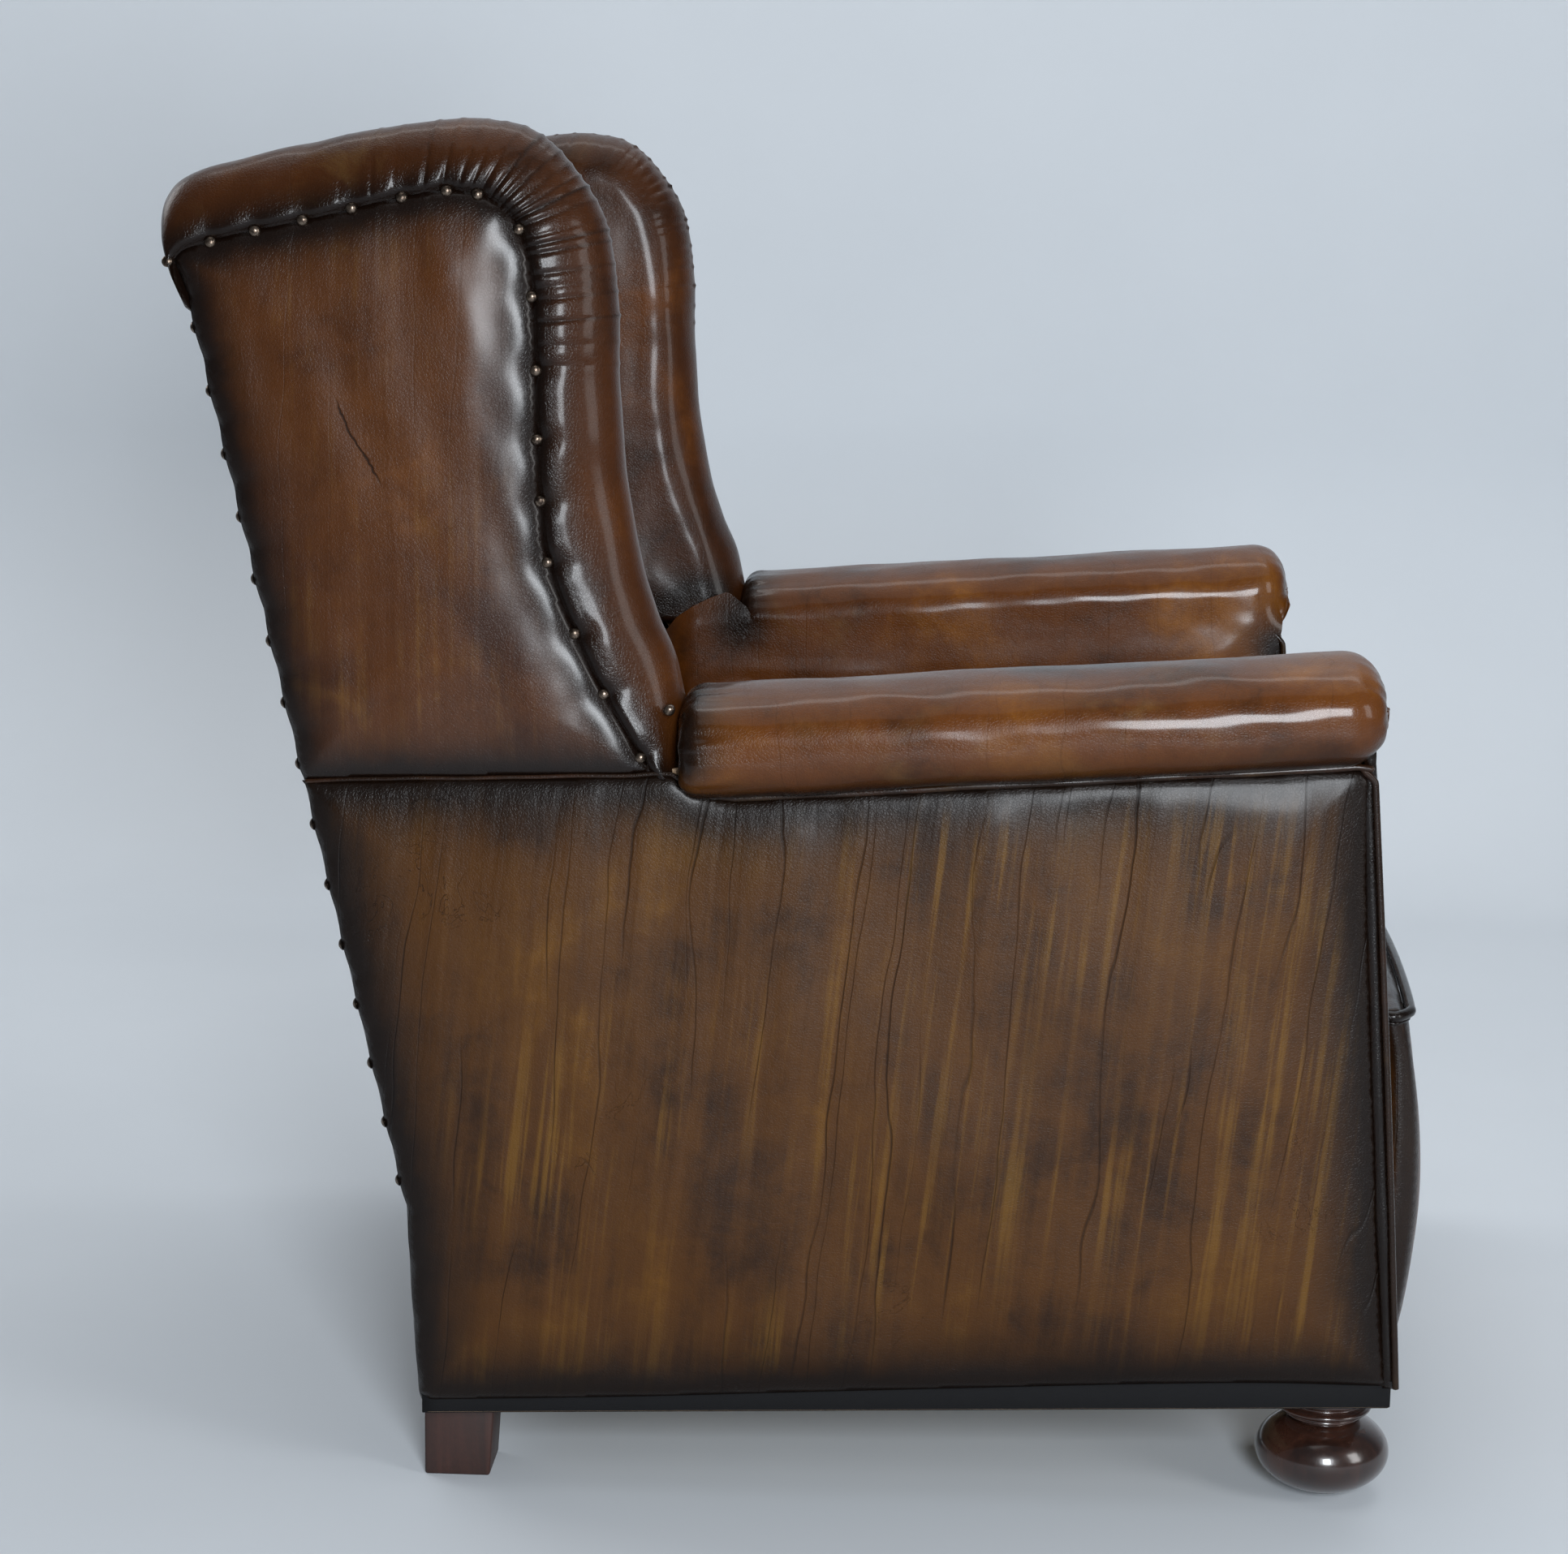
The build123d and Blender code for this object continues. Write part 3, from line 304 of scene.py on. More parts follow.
@dataclass(frozen=True)
class Leather:
    """Hand-dyed hide, burnished nearly black towards its seams, with painted shade in its
    crevices, tucks, creases and folds.
    """

    name: str
    heart: Colour = (0.235, 0.098, 0.022)
    body: Colour = (0.105, 0.040, 0.012)
    shade: Colour = (0.046, 0.017, 0.007)
    # Near black: the burnished dye, and the painted shade of crevices, tucks, creases and folds
    edge: Colour = (0.0046, 0.0023, 0.0015)
    tan: Colour = (0.20, 0.115, 0.035)
    streaks: float = 0.0
    cracks: float = 0.25
    roughness: float = 0.36
    coat: float = 0.30
    coat_roughness: float = 0.15
    turn: Colour = (0.0, 0.0, 0.0)
    scar: Optional[tuple[Point2, Point2]] = None

    def old_scar(self, s: Shader) -> Wire:
        """One old crease between two places on the hide.

        Args:
            s: The shader.

        Returns:
            1 on it, 0 beside it.
        """
        (start_y, start_z), (end_y, end_z) = self.scar
        length = math.hypot(end_y - start_y, end_z - start_z)
        ahead_y, ahead_z = (end_y - start_y) / length, (end_z - start_z) / length
        y, z = s.axis(s.place, 1) - start_y, s.axis(s.place, 2) - start_z
        ahead = y * ahead_y + z * ahead_z
        wander = (s.noise(38.0, 3.0, 0.6) - 0.5) * 0.016
        beside = abs(y * ahead_z - z * ahead_y + wander)
        ends = ahead.span(0.0, 0.014) * (length - ahead).span(0.0, 0.014)
        return beside.span(0.0016, 0.0) * ends

    def creases(self, s: Shader, number: float, bend: float, width: float) -> Wire:
        """Long creases that run down the hide, each broken at random.

        Args:
            s: The shader.
            number: Creases per metre.
            bend: How far they wander, in metres.
            width: Their width, as a share of their spacing.

        Returns:
            1 on a crease, 0 beside it.
        """
        across = s.axis(s.stretched((1.0, 1.0, 1.0), self.turn), 1)
        drift = s.noise(1.0, 3.0, 0.5, at=s.stretched((9.0, 9.0, 2.4), self.turn)) - 0.5
        kink = s.noise(1.0, 2.0, 0.5, at=s.stretched((30.0, 30.0, 16.0), self.turn)) - 0.5
        count = (across + drift * (2.0 * bend) + kink * 0.006) * number
        line = abs(count.fraction() - 0.5).span(width, 0.0)
        gate = s.noise(1.0, 2.0, 0.5, at=s.stretched((18.0, number, 2.6), self.turn))
        return line * gate.span(0.45, 0.58)

    def make(self) -> bpy.types.Material:
        """Build the material.

        Returns:
            The leather.
        """
        s = Shader(self.name)
        # Clouds of dye, from a hand's width down to a pore, and the streaks of the hide
        cloud = s.noise(7.5, 3.0, 0.55, warp=0.4)
        mottle = s.noise(34.0, 5.0, 0.62, warp=0.6)
        speck = s.noise(210.0, 4.0, 0.6)
        rubbed = s.noise(13.0, 6.0, 0.66, warp=1.1)
        along = s.stretched((20.0, 24.0, 2.2), self.turn)
        streak = s.noise(1.0, 4.0, 0.55, at=along, warp=0.5)
        fine = s.noise(1.0, 3.0, 0.6, at=s.stretched((60.0, 120.0, 3.0), self.turn), warp=0.12)

        # Dye: three tones, tan where it is rubbed, nearly black where it is burnished and where
        # shade is painted in crevices and tucks
        burnish_and_shade = s.attribute("burnish_and_shade")
        tone = cloud * 1.15 + mottle * 0.42 + speck * 0.14 - 0.36
        tone = tone + (streak - 0.5) * (0.9 * self.streaks) + (fine - 0.5) * (0.35 * self.streaks)
        base = s.blend(self.shade, self.body, tone.span(0.18, 0.55))
        base = s.blend(base, self.heart, tone.span(0.50, 0.95))
        place = s.noise(4.5, 2.0, 0.5).span(0.42, 0.66)
        patches = (rubbed - 0.46) * (1.0 - 0.7 * self.streaks)
        tanned = ((fine - 0.5) * (2.6 * self.streaks) + patches).span(0.02, 0.34) * place
        base = s.blend(base, self.tan, tanned * (0.30 + 0.35 * self.streaks))
        burnish_and_shade_mask = (burnish_and_shade + (mottle - 0.5) * 0.42 + (cloud - 0.5) * 0.35).span(0.08, 0.86)
        base = s.blend(base, self.edge, burnish_and_shade_mask * 0.97)

        # Cracks and folds, painted near black: dye gathers in the cracks, with painted shade in
        # them and in the folds of the pleats
        long_lines = self.creases(s, 19.0, 0.050, 0.024).peak(
            self.creases(s, 33.0, 0.035, 0.030) * 0.7
        )
        where = s.noise(3.6, 2.0, 0.5).span(0.34, 0.52)
        cross = s.noise(17.0, 4.0, 0.6, warp=1.8)
        short_lines = abs(cross - 0.53).span(0.0045, 0.0) * s.noise(6.0, 2.0).span(0.56, 0.66)
        crack = (long_lines * where).peak(short_lines * 0.8) * self.cracks
        if self.scar:
            crack = crack.peak(self.old_scar(s))
        base = s.blend(base, self.edge, crack * 0.85)
        # Painted shade in the folds of the wing's pleats
        base = s.blend(base, self.edge, s.attribute("fold") * 0.8)

        # Relief, from long ripples down to the pores
        pores = s.node(
            "ShaderNodeTexVoronoi", {"feature": "DISTANCE_TO_EDGE"},
            {"Vector": s.place, "Scale": 420.0, "Randomness": 1.0},
        ).span(0.0, 0.22)
        creases = s.noise(95.0, 6.0, 0.7, warp=0.9)
        ripple = s.noise(1.0, 3.0, 0.5, at=s.stretched((26.0, 40.0, 5.0), self.turn), warp=0.5)
        shape = s.bump(ripple, 0.0022 * (0.25 + self.streaks), 0.8)
        shape = s.bump(creases * 0.7 + mottle * 0.6, 0.0011, 0.45, shape)
        shape = s.bump(pores * 0.5 + speck * 0.8, 0.00028, 0.6, shape)
        shape = s.bump(1 - crack, 0.0008, 0.9, shape)
        gloss = mottle * 0.16 + speck * 0.10 + crack * 0.25 + rubbed * 0.12 - burnish_and_shade_mask * 0.09
        gloss = gloss + (self.roughness - 0.18)
        return s.surface(
            Base_Color=base,
            Roughness=gloss,
            IOR=1.24,
            Coat_Weight=(1 - crack * 0.6) * self.coat,
            Coat_Roughness=self.coat_roughness,
            Coat_IOR=1.45,
            Normal=shape,
        )


@dataclass(frozen=True)
class Timber:
    """Stained or bare wood with its grain."""

    name: str
    light: Colour
    dark: Colour
    roughness: float
    coat: float = 0.0
    along: Colour = (38.0, 38.0, 5.0)
    wear: Colour = (0.12, 0.06, 0.03)

    def make(self) -> bpy.types.Material:
        """Build the material.

        Returns:
            The wood.
        """
        s = Shader(self.name)
        rings = s.noise(1.0, 5.0, 0.6, at=s.stretched(self.along), warp=0.8)
        fleck = s.noise(260.0, 3.0, 0.6)
        base = s.blend(self.dark, self.light, (rings * 1.1 + fleck * 0.25 - 0.15).span(0.3, 0.75))
        scuffs = s.noise(46.0, 6.0, 0.7, warp=0.5).span(0.62, 0.72)
        base = s.blend(base, self.wear, scuffs * 0.45)
        shape = s.bump(rings + fleck * 0.4, 0.0006, 0.35)
        gloss = (rings * 0.15 + scuffs * 0.18) + (self.roughness - 0.08)
        return s.surface(
            Base_Color=base, Roughness=gloss, Coat_Weight=(1 - scuffs) * self.coat,
            Coat_Roughness=0.12, Normal=shape,
        )


@dataclass(frozen=True)
class Metal:
    """Worn metal, such as the nails' dark brass or plain steel."""

    name: str
    bright: Colour
    dull: Colour
    roughness: float

    def make(self) -> bpy.types.Material:
        """Build the material.

        Returns:
            The metal.
        """
        s = Shader(self.name)
        tarnish = s.noise(330.0, 4.0, 0.6, warp=0.4)
        base = s.blend(self.bright, self.dull, tarnish.span(0.38, 0.66))
        marks = s.noise(1500.0, 3.0, 0.6)
        shape = s.bump(marks, 0.0001, 0.4)
        return s.surface(
            Base_Color=base, Metallic=0.92, Roughness=(tarnish * 0.3) + (self.roughness - 0.12),
            Normal=shape,
        )


@dataclass(frozen=True)
class Cloth:
    """Plain woven cloth."""

    name: str
    yarn: Colour
    gap: Colour
    pitch: float
    roughness: float = 0.85

    def make(self) -> bpy.types.Material:
        """Build the material.

        Returns:
            The cloth.
        """
        s = Shader(self.name)
        turns = math.tau / self.pitch
        x, y, z = (s.axis(s.place, number) for number in range(3))
        warp = (x * turns).sine()
        weft = ((y + z * 0.9) * turns).sine()
        weave = (warp * weft) * 0.5 + 0.5
        fuzz = s.noise(900.0, 3.0, 0.6)
        base = s.blend(self.gap, self.yarn, (weave * 0.7 + fuzz * 0.5).span(0.15, 0.8))
        shape = s.bump(weave + fuzz * 0.3, self.pitch * 0.2, 0.6)
        return s.surface(
            Base_Color=base, Roughness=fuzz * 0.1 + (self.roughness - 0.05),
            Specular_IOR_Level=0.12, Normal=shape,
        )


# Geometry tools


def spline(points: Sequence[Sequence[float]], count: int) -> np.ndarray:
    """Smooth curve through points, evenly spaced along its length.

    Args:
        points: The points to pass through.
        count: Number of points to return.

    Returns:
        One row per point.
    """
    spots = np.asarray(points, float)
    run = np.vstack([2 * spots[0] - spots[1], spots, 2 * spots[-1] - spots[-2]])
    shares = np.linspace(0, 1, 24, endpoint=False)[:, None]
    pieces = []
    for a, b, c, d in zip(run, run[1:], run[2:], run[3:]):
        pieces.append(0.5 * (2 * b + (c - a) * shares + (2 * a - 5 * b + 4 * c - d) * shares**2
                             + (3 * b - a - 3 * c + d) * shares**3))
    return evenly(np.vstack(pieces + [run[-2][None]]), count)


def evenly(points: np.ndarray, count: int, closed: bool = False) -> np.ndarray:
    """Points at even steps along a polyline.

    Args:
        points: The polyline.
        count: Number of points to return.
        closed: Leave out the last point, which is also the first.

    Returns:
        One row per point.
    """
    steps = np.linalg.norm(np.diff(points, axis=0), axis=1)
    length = np.concatenate([[0], np.cumsum(steps)])
    at = np.linspace(0, length[-1], count + 1 if closed else count)
    if closed:
        at = at[:-1]
    return np.stack([np.interp(at, length, points[:, k]) for k in range(points.shape[1])], 1)


def smooth(value: np.ndarray, low: float, high: float) -> np.ndarray:
    """Smooth step from 0 at low to 1 at high, which may lie below low."""
    share = np.clip((value - low) / (high - low), 0, 1)
    return share * share * (3 - 2 * share)


def border(net: np.ndarray) -> np.ndarray:
    """Points around the edge of a net of rows and columns, in order."""
    return np.vstack([net[0], net[1:, -1], net[-1, ::-1][1:], net[::-1, 0][1:-1]])


def headings(points: np.ndarray) -> np.ndarray:
    """Direction of a line at each of its points, as a vector of length 1."""
    forward = np.gradient(points, axis=0)
    return forward / np.linalg.norm(forward, axis=1)[:, None]


def ripple(points: np.ndarray, wave: Colour, seed: int) -> np.ndarray:
    """Smooth random field of sines.

    Args:
        points: Places, in millimetres.
        wave: Typical wavelength along x, y and z.
        seed: Seed of the draw.

    Returns:
        Values of about -1 to 1.
    """
    draw = np.random.default_rng(seed)
    total = np.zeros(len(points))
    for _ in range(SINES):
        direction = draw.normal(size=3) / np.asarray(wave) * 2 * math.pi * 0.6
        total += np.sin(points @ direction + draw.uniform(0, math.tau))
    return total / math.sqrt(SINES) / 1.2


def distance(points: np.ndarray, line: np.ndarray) -> np.ndarray:
    """Shortest distance from each point to a densely sampled line.

    Args:
        points: The places.
        line: The line's points.

    Returns:
        One distance per place.
    """
    result = np.full(len(points), np.inf)
    for start in range(0, len(line), 64):
        part = line[start:start + 64]
        gaps = np.linalg.norm(points[:, None, :] - part[None], axis=2)
        result = np.minimum(result, gaps.min(1))
    return result


def nearest(points: np.ndarray, line: np.ndarray) -> np.ndarray:
    """Number of the line's point that is nearest to each point."""
    parts = np.array_split(points, max(1, len(points) // 2000))
    return np.concatenate([np.linalg.norm(part[:, None] - line[None], axis=2).argmin(1)
                           for part in parts])


def inside(points: np.ndarray, loop: np.ndarray) -> np.ndarray:
    """Whether each point lies within a closed loop in the plane.

    Args:
        points: The points.
        loop: The loop's corners.

    Returns:
        One answer per point.
    """
    result = np.zeros(len(points), bool)
    for (ax, ay), (bx, by) in zip(loop, np.roll(loop, -1, 0)):
        if ay == by:
            continue
        crosses = (points[:, 1] > min(ay, by)) & (points[:, 1] <= max(ay, by))
        meet = ax + (points[:, 1] - ay) * (bx - ax) / (by - ay)
        result ^= crosses & (points[:, 0] < meet)
    return result


def dress(item: bpy.types.Object, material: bpy.types.Material) -> None:
    """Give an object one material."""
    item.data.materials.clear()
    item.data.materials.append(material)


def linked(item: bpy.types.Object) -> bpy.types.Object:
    """Put an object in the scene."""
    bpy.context.scene.collection.objects.link(item)
    return item


def solidify(net: bmesh.types.BMesh, name: str) -> bpy.types.Object:
    """Turn a net into an object with soft shading.

    Args:
        net: The net, which is freed.
        name: The object's name.

    Returns:
        The object, in the scene.
    """
    mesh = bpy.data.meshes.new(name)
    net.to_mesh(mesh)
    net.free()
    for face in mesh.polygons:
        face.use_smooth = True
    return linked(bpy.data.objects.new(name, mesh))


Relief = Callable[[np.ndarray], np.ndarray]
Place = Callable[[np.ndarray, np.ndarray], np.ndarray]


class Skin:
    """Surface gathered from patches, in millimetres."""

    def __init__(self) -> None:
        """Start with nothing."""
        self.points: list[np.ndarray] = []
        self.faces: list[tuple[int, ...]] = []
        self.count = 0

    def add(self, points: np.ndarray, faces: Sequence[Sequence[int]]) -> None:
        """Add points and the faces between them.

        Args:
            points: One row per point.
            faces: Point numbers of each face, from 0.
        """
        self.points.append(np.asarray(points, float))
        self.faces += [tuple(self.count + i for i in face) for face in faces]
        self.count += len(points)

    def grid(self, spots: np.ndarray, wrap: bool = False) -> None:
        """Add a grid.

        Args:
            spots: Points as rows, columns and x, y, z.
            wrap: Join the last column to the first.
        """
        rows, columns = spots.shape[:2]
        faces = []
        last = columns if wrap else columns - 1
        for r in range(rows - 1):
            for c in range(last):
                d = (c + 1) % columns
                faces.append((r * columns + c, r * columns + d,
                              (r + 1) * columns + d, (r + 1) * columns + c))
        self.add(spots.reshape(-1, 3), faces)

    def patch(self, loop: np.ndarray, spacing: float, place: Place) -> None:
        """Fill a closed loop with even triangles.

        Args:
            loop: Points of the loop in the patch's own plane.
            spacing: Distance between the points inside it.
            place: Gives x, y, z from points and their distances to the loop.
        """
        low, high = loop.min(0), loop.max(0)
        rise = spacing * math.sqrt(3) / 2
        rows = int((high[1] - low[1]) / rise) + 2
        columns = int((high[0] - low[0]) / spacing) + 2
        v, u = np.meshgrid(np.arange(rows), np.arange(columns), indexing="ij")
        spots = np.stack([low[0] + (u + 0.5 * (v % 2)) * spacing, low[1] + v * rise], -1)
        spots = spots.reshape(-1, 2)
        spots = spots[inside(spots, loop)]
        dense = evenly(np.vstack([loop, loop[:1]]), max(len(loop) * 2, 400))
        spots = spots[distance(spots, dense) > spacing * 0.55]
        points = [Vector(p) for p in np.vstack([loop, spots])]
        edges = [(i, (i + 1) % len(loop)) for i in range(len(loop))]
        made, _, faces, *_ = delaunay_2d_cdt(points, edges, [], 1, 1e-4)
        flat = np.array([tuple(p) for p in made])
        near = distance(flat, dense)
        near[:len(loop)] = 0.0
        self.add(place(flat, near), faces)

    def panel(self, loop: np.ndarray, spacing: float, place: Place, turn: Relief,
              tip: Sequence[float]) -> np.ndarray:
        """Fill a closed loop, turn its rim back and close it behind.

        Args:
            loop: Points of the loop in the panel's own plane.
            spacing: Distance between the points inside it.
            place: Gives x, y, z from points and their distances to the loop.
            turn: Gives the turned edge from the rim.
            tip: Point behind the panel in which it closes.

        Returns:
            The rim.
        """
        self.patch(loop, spacing, place)
        rim = place(loop, np.zeros(len(loop)))
        turned = turn(rim)
        self.grid(np.array([rim, turned]), wrap=True)
        self.cone(turned, tip)
        return rim

    def cone(self, ring: np.ndarray, tip: Sequence[float]) -> None:
        """Close a ring of points with triangles to a tip.

        Args:
            ring: The points in order.
            tip: Where the triangles meet.
        """
        number = len(ring)
        faces = [(i, (i + 1) % number, number) for i in range(number)]
        self.add(np.vstack([ring, [tip]]), faces)

    def tube(self, line: np.ndarray, radius: Union[float, np.ndarray], sides: int = 12) -> None:
        """Round cord along a line, with closed ends.

        Args:
            line: Points along the middle.
            radius: Its radius, or one for each point.
            sides: Number of sides.
        """
        radii = np.broadcast_to(radius, len(line))
        forward = headings(line)
        across = np.cross(forward[0], (0.3, 0.5, 0.8))
        rings = []
        angles = np.linspace(0, math.tau, sides, endpoint=False)
        for spot, ahead, size in zip(line, forward, radii):
            across = across - ahead * (across @ ahead)
            across /= np.linalg.norm(across)
            other = np.cross(ahead, across)
            ring = np.outer(np.cos(angles), across) + np.outer(np.sin(angles), other)
            rings.append(spot + ring * size)
        self.grid(np.array(rings), wrap=True)
        self.cone(rings[0], line[0] - forward[0] * radii[0] * 0.5)
        self.cone(rings[-1][::-1], line[-1] + forward[-1] * radii[-1] * 0.5)

    def lathe(self, profile: Sequence[Point2], centre: Point2, sides: int = 96) -> None:
        """Turned form about a vertical line.

        Args:
            profile: Radius and height of each point, the first and last on the axis.
            centre: Place of the axis.
            sides: Number of sides.
        """
        angles = np.linspace(0, math.tau, sides, endpoint=False)
        rings = [
            np.stack([centre[0] + r * np.cos(angles), centre[1] + r * np.sin(angles),
                      np.full(sides, z)], 1)
            for r, z in profile[1:-1]
        ]
        self.grid(np.array(rings), wrap=True)
        self.cone(rings[0], (*centre, profile[0][1]))
        self.cone(rings[-1][::-1], (*centre, profile[-1][1]))

    def piece(self, name: str, side: Optional[Side] = None, relief: Optional[Relief] = None,
              weld: float = 0.02) -> "Piece":
        """Make the mesh object.

        Args:
            name: The object's name.
            side: Mirror it for the right side.
            relief: Gives how far each point moves out, from its place.
            weld: Distance within which points become one.

        Returns:
            The piece.
        """
        net = bmesh.new()
        made = [net.verts.new(p) for p in np.vstack(self.points)]
        for face in self.faces:
            corners = [made[i] for i in dict.fromkeys(face)]
            if len(corners) > 2:
                net.faces.new(corners)
        bmesh.ops.remove_doubles(net, verts=net.verts, dist=weld)
        bmesh.ops.dissolve_degenerate(net, dist=1e-4, edges=net.edges)
        bmesh.ops.recalc_face_normals(net, faces=net.faces)
        net.normal_update()
        if net.calc_volume(signed=True) < 0:
            bmesh.ops.reverse_faces(net, faces=net.faces)
            net.normal_update()
        spots = np.array([v.co for v in net.verts])
        if relief is not None:
            normals = np.array([v.normal for v in net.verts])
            spots = spots + normals * relief(spots)[:, None]
        if side is Side.RIGHT:
            spots = spots * (-1, 1, 1)
        for vertex, spot in zip(net.verts, spots):
            vertex.co = spot * MM
        if side is Side.RIGHT:
            bmesh.ops.reverse_faces(net, faces=net.faces)
        return Piece(solidify(net, name))


class Piece:
    """One finished object of the chair."""

    def __init__(self, item: bpy.types.Object) -> None:
        """Hold the object."""
        self.item = item

    def spots(self) -> np.ndarray:
        """Places of its points, in millimetres."""
        flat = np.zeros(len(self.item.data.vertices) * 3)
        self.item.data.vertices.foreach_get("co", flat)
        return flat.reshape(-1, 3) / MM

    def paint(self, name: str, values: np.ndarray) -> "Piece":
        """Store a value at each point.

        Args:
            name: The attribute's name.
            values: One value per point.

        Returns:
            The piece.
        """
        layer = self.item.data.attributes.new(name, "FLOAT", "POINT")
        layer.data.foreach_set("value", np.asarray(values, np.float32))
        return self

    def stain(self, value: float) -> "Piece":
        """Burnish it all over by one value."""
        return self.paint("burnish_and_shade", np.full(len(self.item.data.vertices), value))

    def burnish_and_shade(self, lines: Sequence[np.ndarray], reach: float) -> "Piece":
        """Darken the dye near seams: burnish, and painted shade where a seam lies in a crevice, a
        tuck or under a roll.

        Args:
            lines: The seams, in millimetres, on the sitter's left or in the middle.
            reach: Distance over which the dark fades.

        Returns:
            The piece.
        """
        spots = self.spots()
        near = np.full(len(spots), np.inf)
        for line in lines:
            for sign in (1, -1):
                near = np.minimum(near, distance(spots, line * (sign, 1, 1)))
        return self.paint("burnish_and_shade", np.exp(-((near / reach) ** 1.25)))

    def finish(self, material: bpy.types.Material, slot: str, *nodes: str) -> "Piece":
        """Dress it and tie it to the frame.

        Args:
            material: Its material.
            slot: Not used.
            nodes: Solids that it stands for.

        Returns:
            The piece.
        """
        dress(self.item, material)
        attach(self.item, ROOT)
        if nodes:
            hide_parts(*nodes)
        LOG.info("%s: %d points", self.item.name, len(self.item.data.vertices))
        return self


@dataclass(frozen=True)
class Cover:
    """How a padded leather cover is finished."""

    leather: bpy.types.Material
    seams: Sequence[np.ndarray]
    reach: float
    fill: float
    relief: Relief

    def make(self, skin: Skin, name: str, *nodes: str, side: Optional[Side] = None) -> Piece:
        """Make the cover, darken it towards its seams with burnish and painted shade, and tie it
        to the frame.

        Args:
            skin: Its surface.
            name: Its name.
            nodes: Solids that it stands for.
            side: Mirror it for the right side.

        Returns:
            The piece.
        """
        piece = skin.piece(name, side, self.relief)
        piece.burnish_and_shade(self.seams, self.reach)
        piece.finish(self.leather, "brown_leather", *nodes)
        return piece

    def pair(self, skin: Skin, name: str, *nodes: str) -> list[Piece]:
        """Make the cover for each side, with the side's word after each name.

        Args:
            skin: Surface for the sitter's left.
            name: The covers' name.
            nodes: Solids that they stand for.

        Returns:
            The left and the right piece.
        """
        return [
            self.make(skin, f"{name}_{side.word}", *(f"{node}_{side.word}" for node in nodes),
                      side=side)
            for side in Side
        ]


# The chair's lines


@dataclass(frozen=True)
class ChairLines:
    """Lines that several sub-assemblies share, as in the solids."""

    body_half: float = 384.0
    knee: Point2 = (304.0, 219.0)
    rake: float = math.tan(math.radians(12.65))
    heel: float = math.tan(math.radians(3.2))
    rear_foot_y: float = 268.0
    rear_foot_height: float = 60.0
    sole_slope: float = 0.0379
    welt_rear: Point2 = (98.0, 534.0)
    welt_slope: float = 0.0738
    facing_foot: Point2 = (-437.0, 112.0)
    facing_lean: float = 0.0787

    def rear(self, z: np.ndarray) -> np.ndarray:
        """Y of the outside back at a height."""
        rise = np.asarray(z, float) - self.knee[1]
        return self.knee[0] + rise * np.where(rise > 0, self.rake, self.heel)

    def low(self, y: np.ndarray) -> np.ndarray:
        """Height of the frame's underside."""
        return self.rear_foot_height + (self.rear_foot_y - np.asarray(y)) * self.sole_slope

    def welt(self, y: np.ndarray) -> np.ndarray:
        """Height of the seam under the arm."""
        return self.welt_rear[1] + (self.welt_rear[0] - np.asarray(y)) * self.welt_slope

    def facing(self, z: np.ndarray) -> np.ndarray:
        """Y of the arm's front facing."""
        return self.facing_foot[0] + (np.asarray(z) - self.facing_foot[1]) * self.facing_lean


LINES = ChairLines()

WING_SEAM: tuple[Point2, ...] = (
    (117, 551), (129, 567), (156, 613), (177, 657), (196, 708), (202, 752), (204, 796), (205, 845),
    (207, 893), (210, 922), (217, 944), (228, 959), (243, 967), (258, 970), (275, 970),
    (314, 962), (353, 952), (389, 944), (422, 937), (452, 928), (461, 922), (464, 915),
    (463, 905), (459, 895), (455, 886),
)
WING_RIM: tuple[Point2, ...] = (
    (97, 552), (97, 590), (105, 633), (120, 667), (132, 706), (140, 750), (146, 796), (148, 845),
    (150, 900), (154, 932), (165, 964), (188, 996), (214, 1013), (240, 1019.5), (266, 1019.5),
    (312, 1014), (354, 1007), (392, 998.5), (426, 990), (460, 979), (474, 966), (478, 948),
    (474, 928), (467, 908), (459, 886),
)
REAR_NAIL: Point2 = (108.0, 603.0)
WING_NAILS: tuple[Point2, ...] = (
    (468, 918), (437, 932), (405, 940), (371, 948), (336, 957), (300, 965), (268, 970),
    (246, 968), (217, 944), (208, 897), (205, 845), (204, 796), (202, 752), (197, 708),
    (177, 657), (156, 613), (129, 567),
)


def outside_arm_top(y: np.ndarray) -> np.ndarray:
    """Height of the outside arm's top edge.

    Args:
        y: Places along the arm.

    Returns:
        Heights of the welt under the arm in front, and of the mid seam behind.
    """
    spots = (60, 72, 84, 96, 106, 118, 134, 211, 300, 380)
    behind = (538.8, 540.2, 543.0, 550.0, 555.6, 555.6, 553.8, 551.0, 548.0, 544.4)
    return np.where(y < 60, LINES.welt(y) + 1.9, np.interp(y, spots, behind))


def on_side(line: np.ndarray, x: float) -> np.ndarray:
    """Points of a side outline, at an x."""
    return np.column_stack([np.full(len(line), x), line])


# Wings


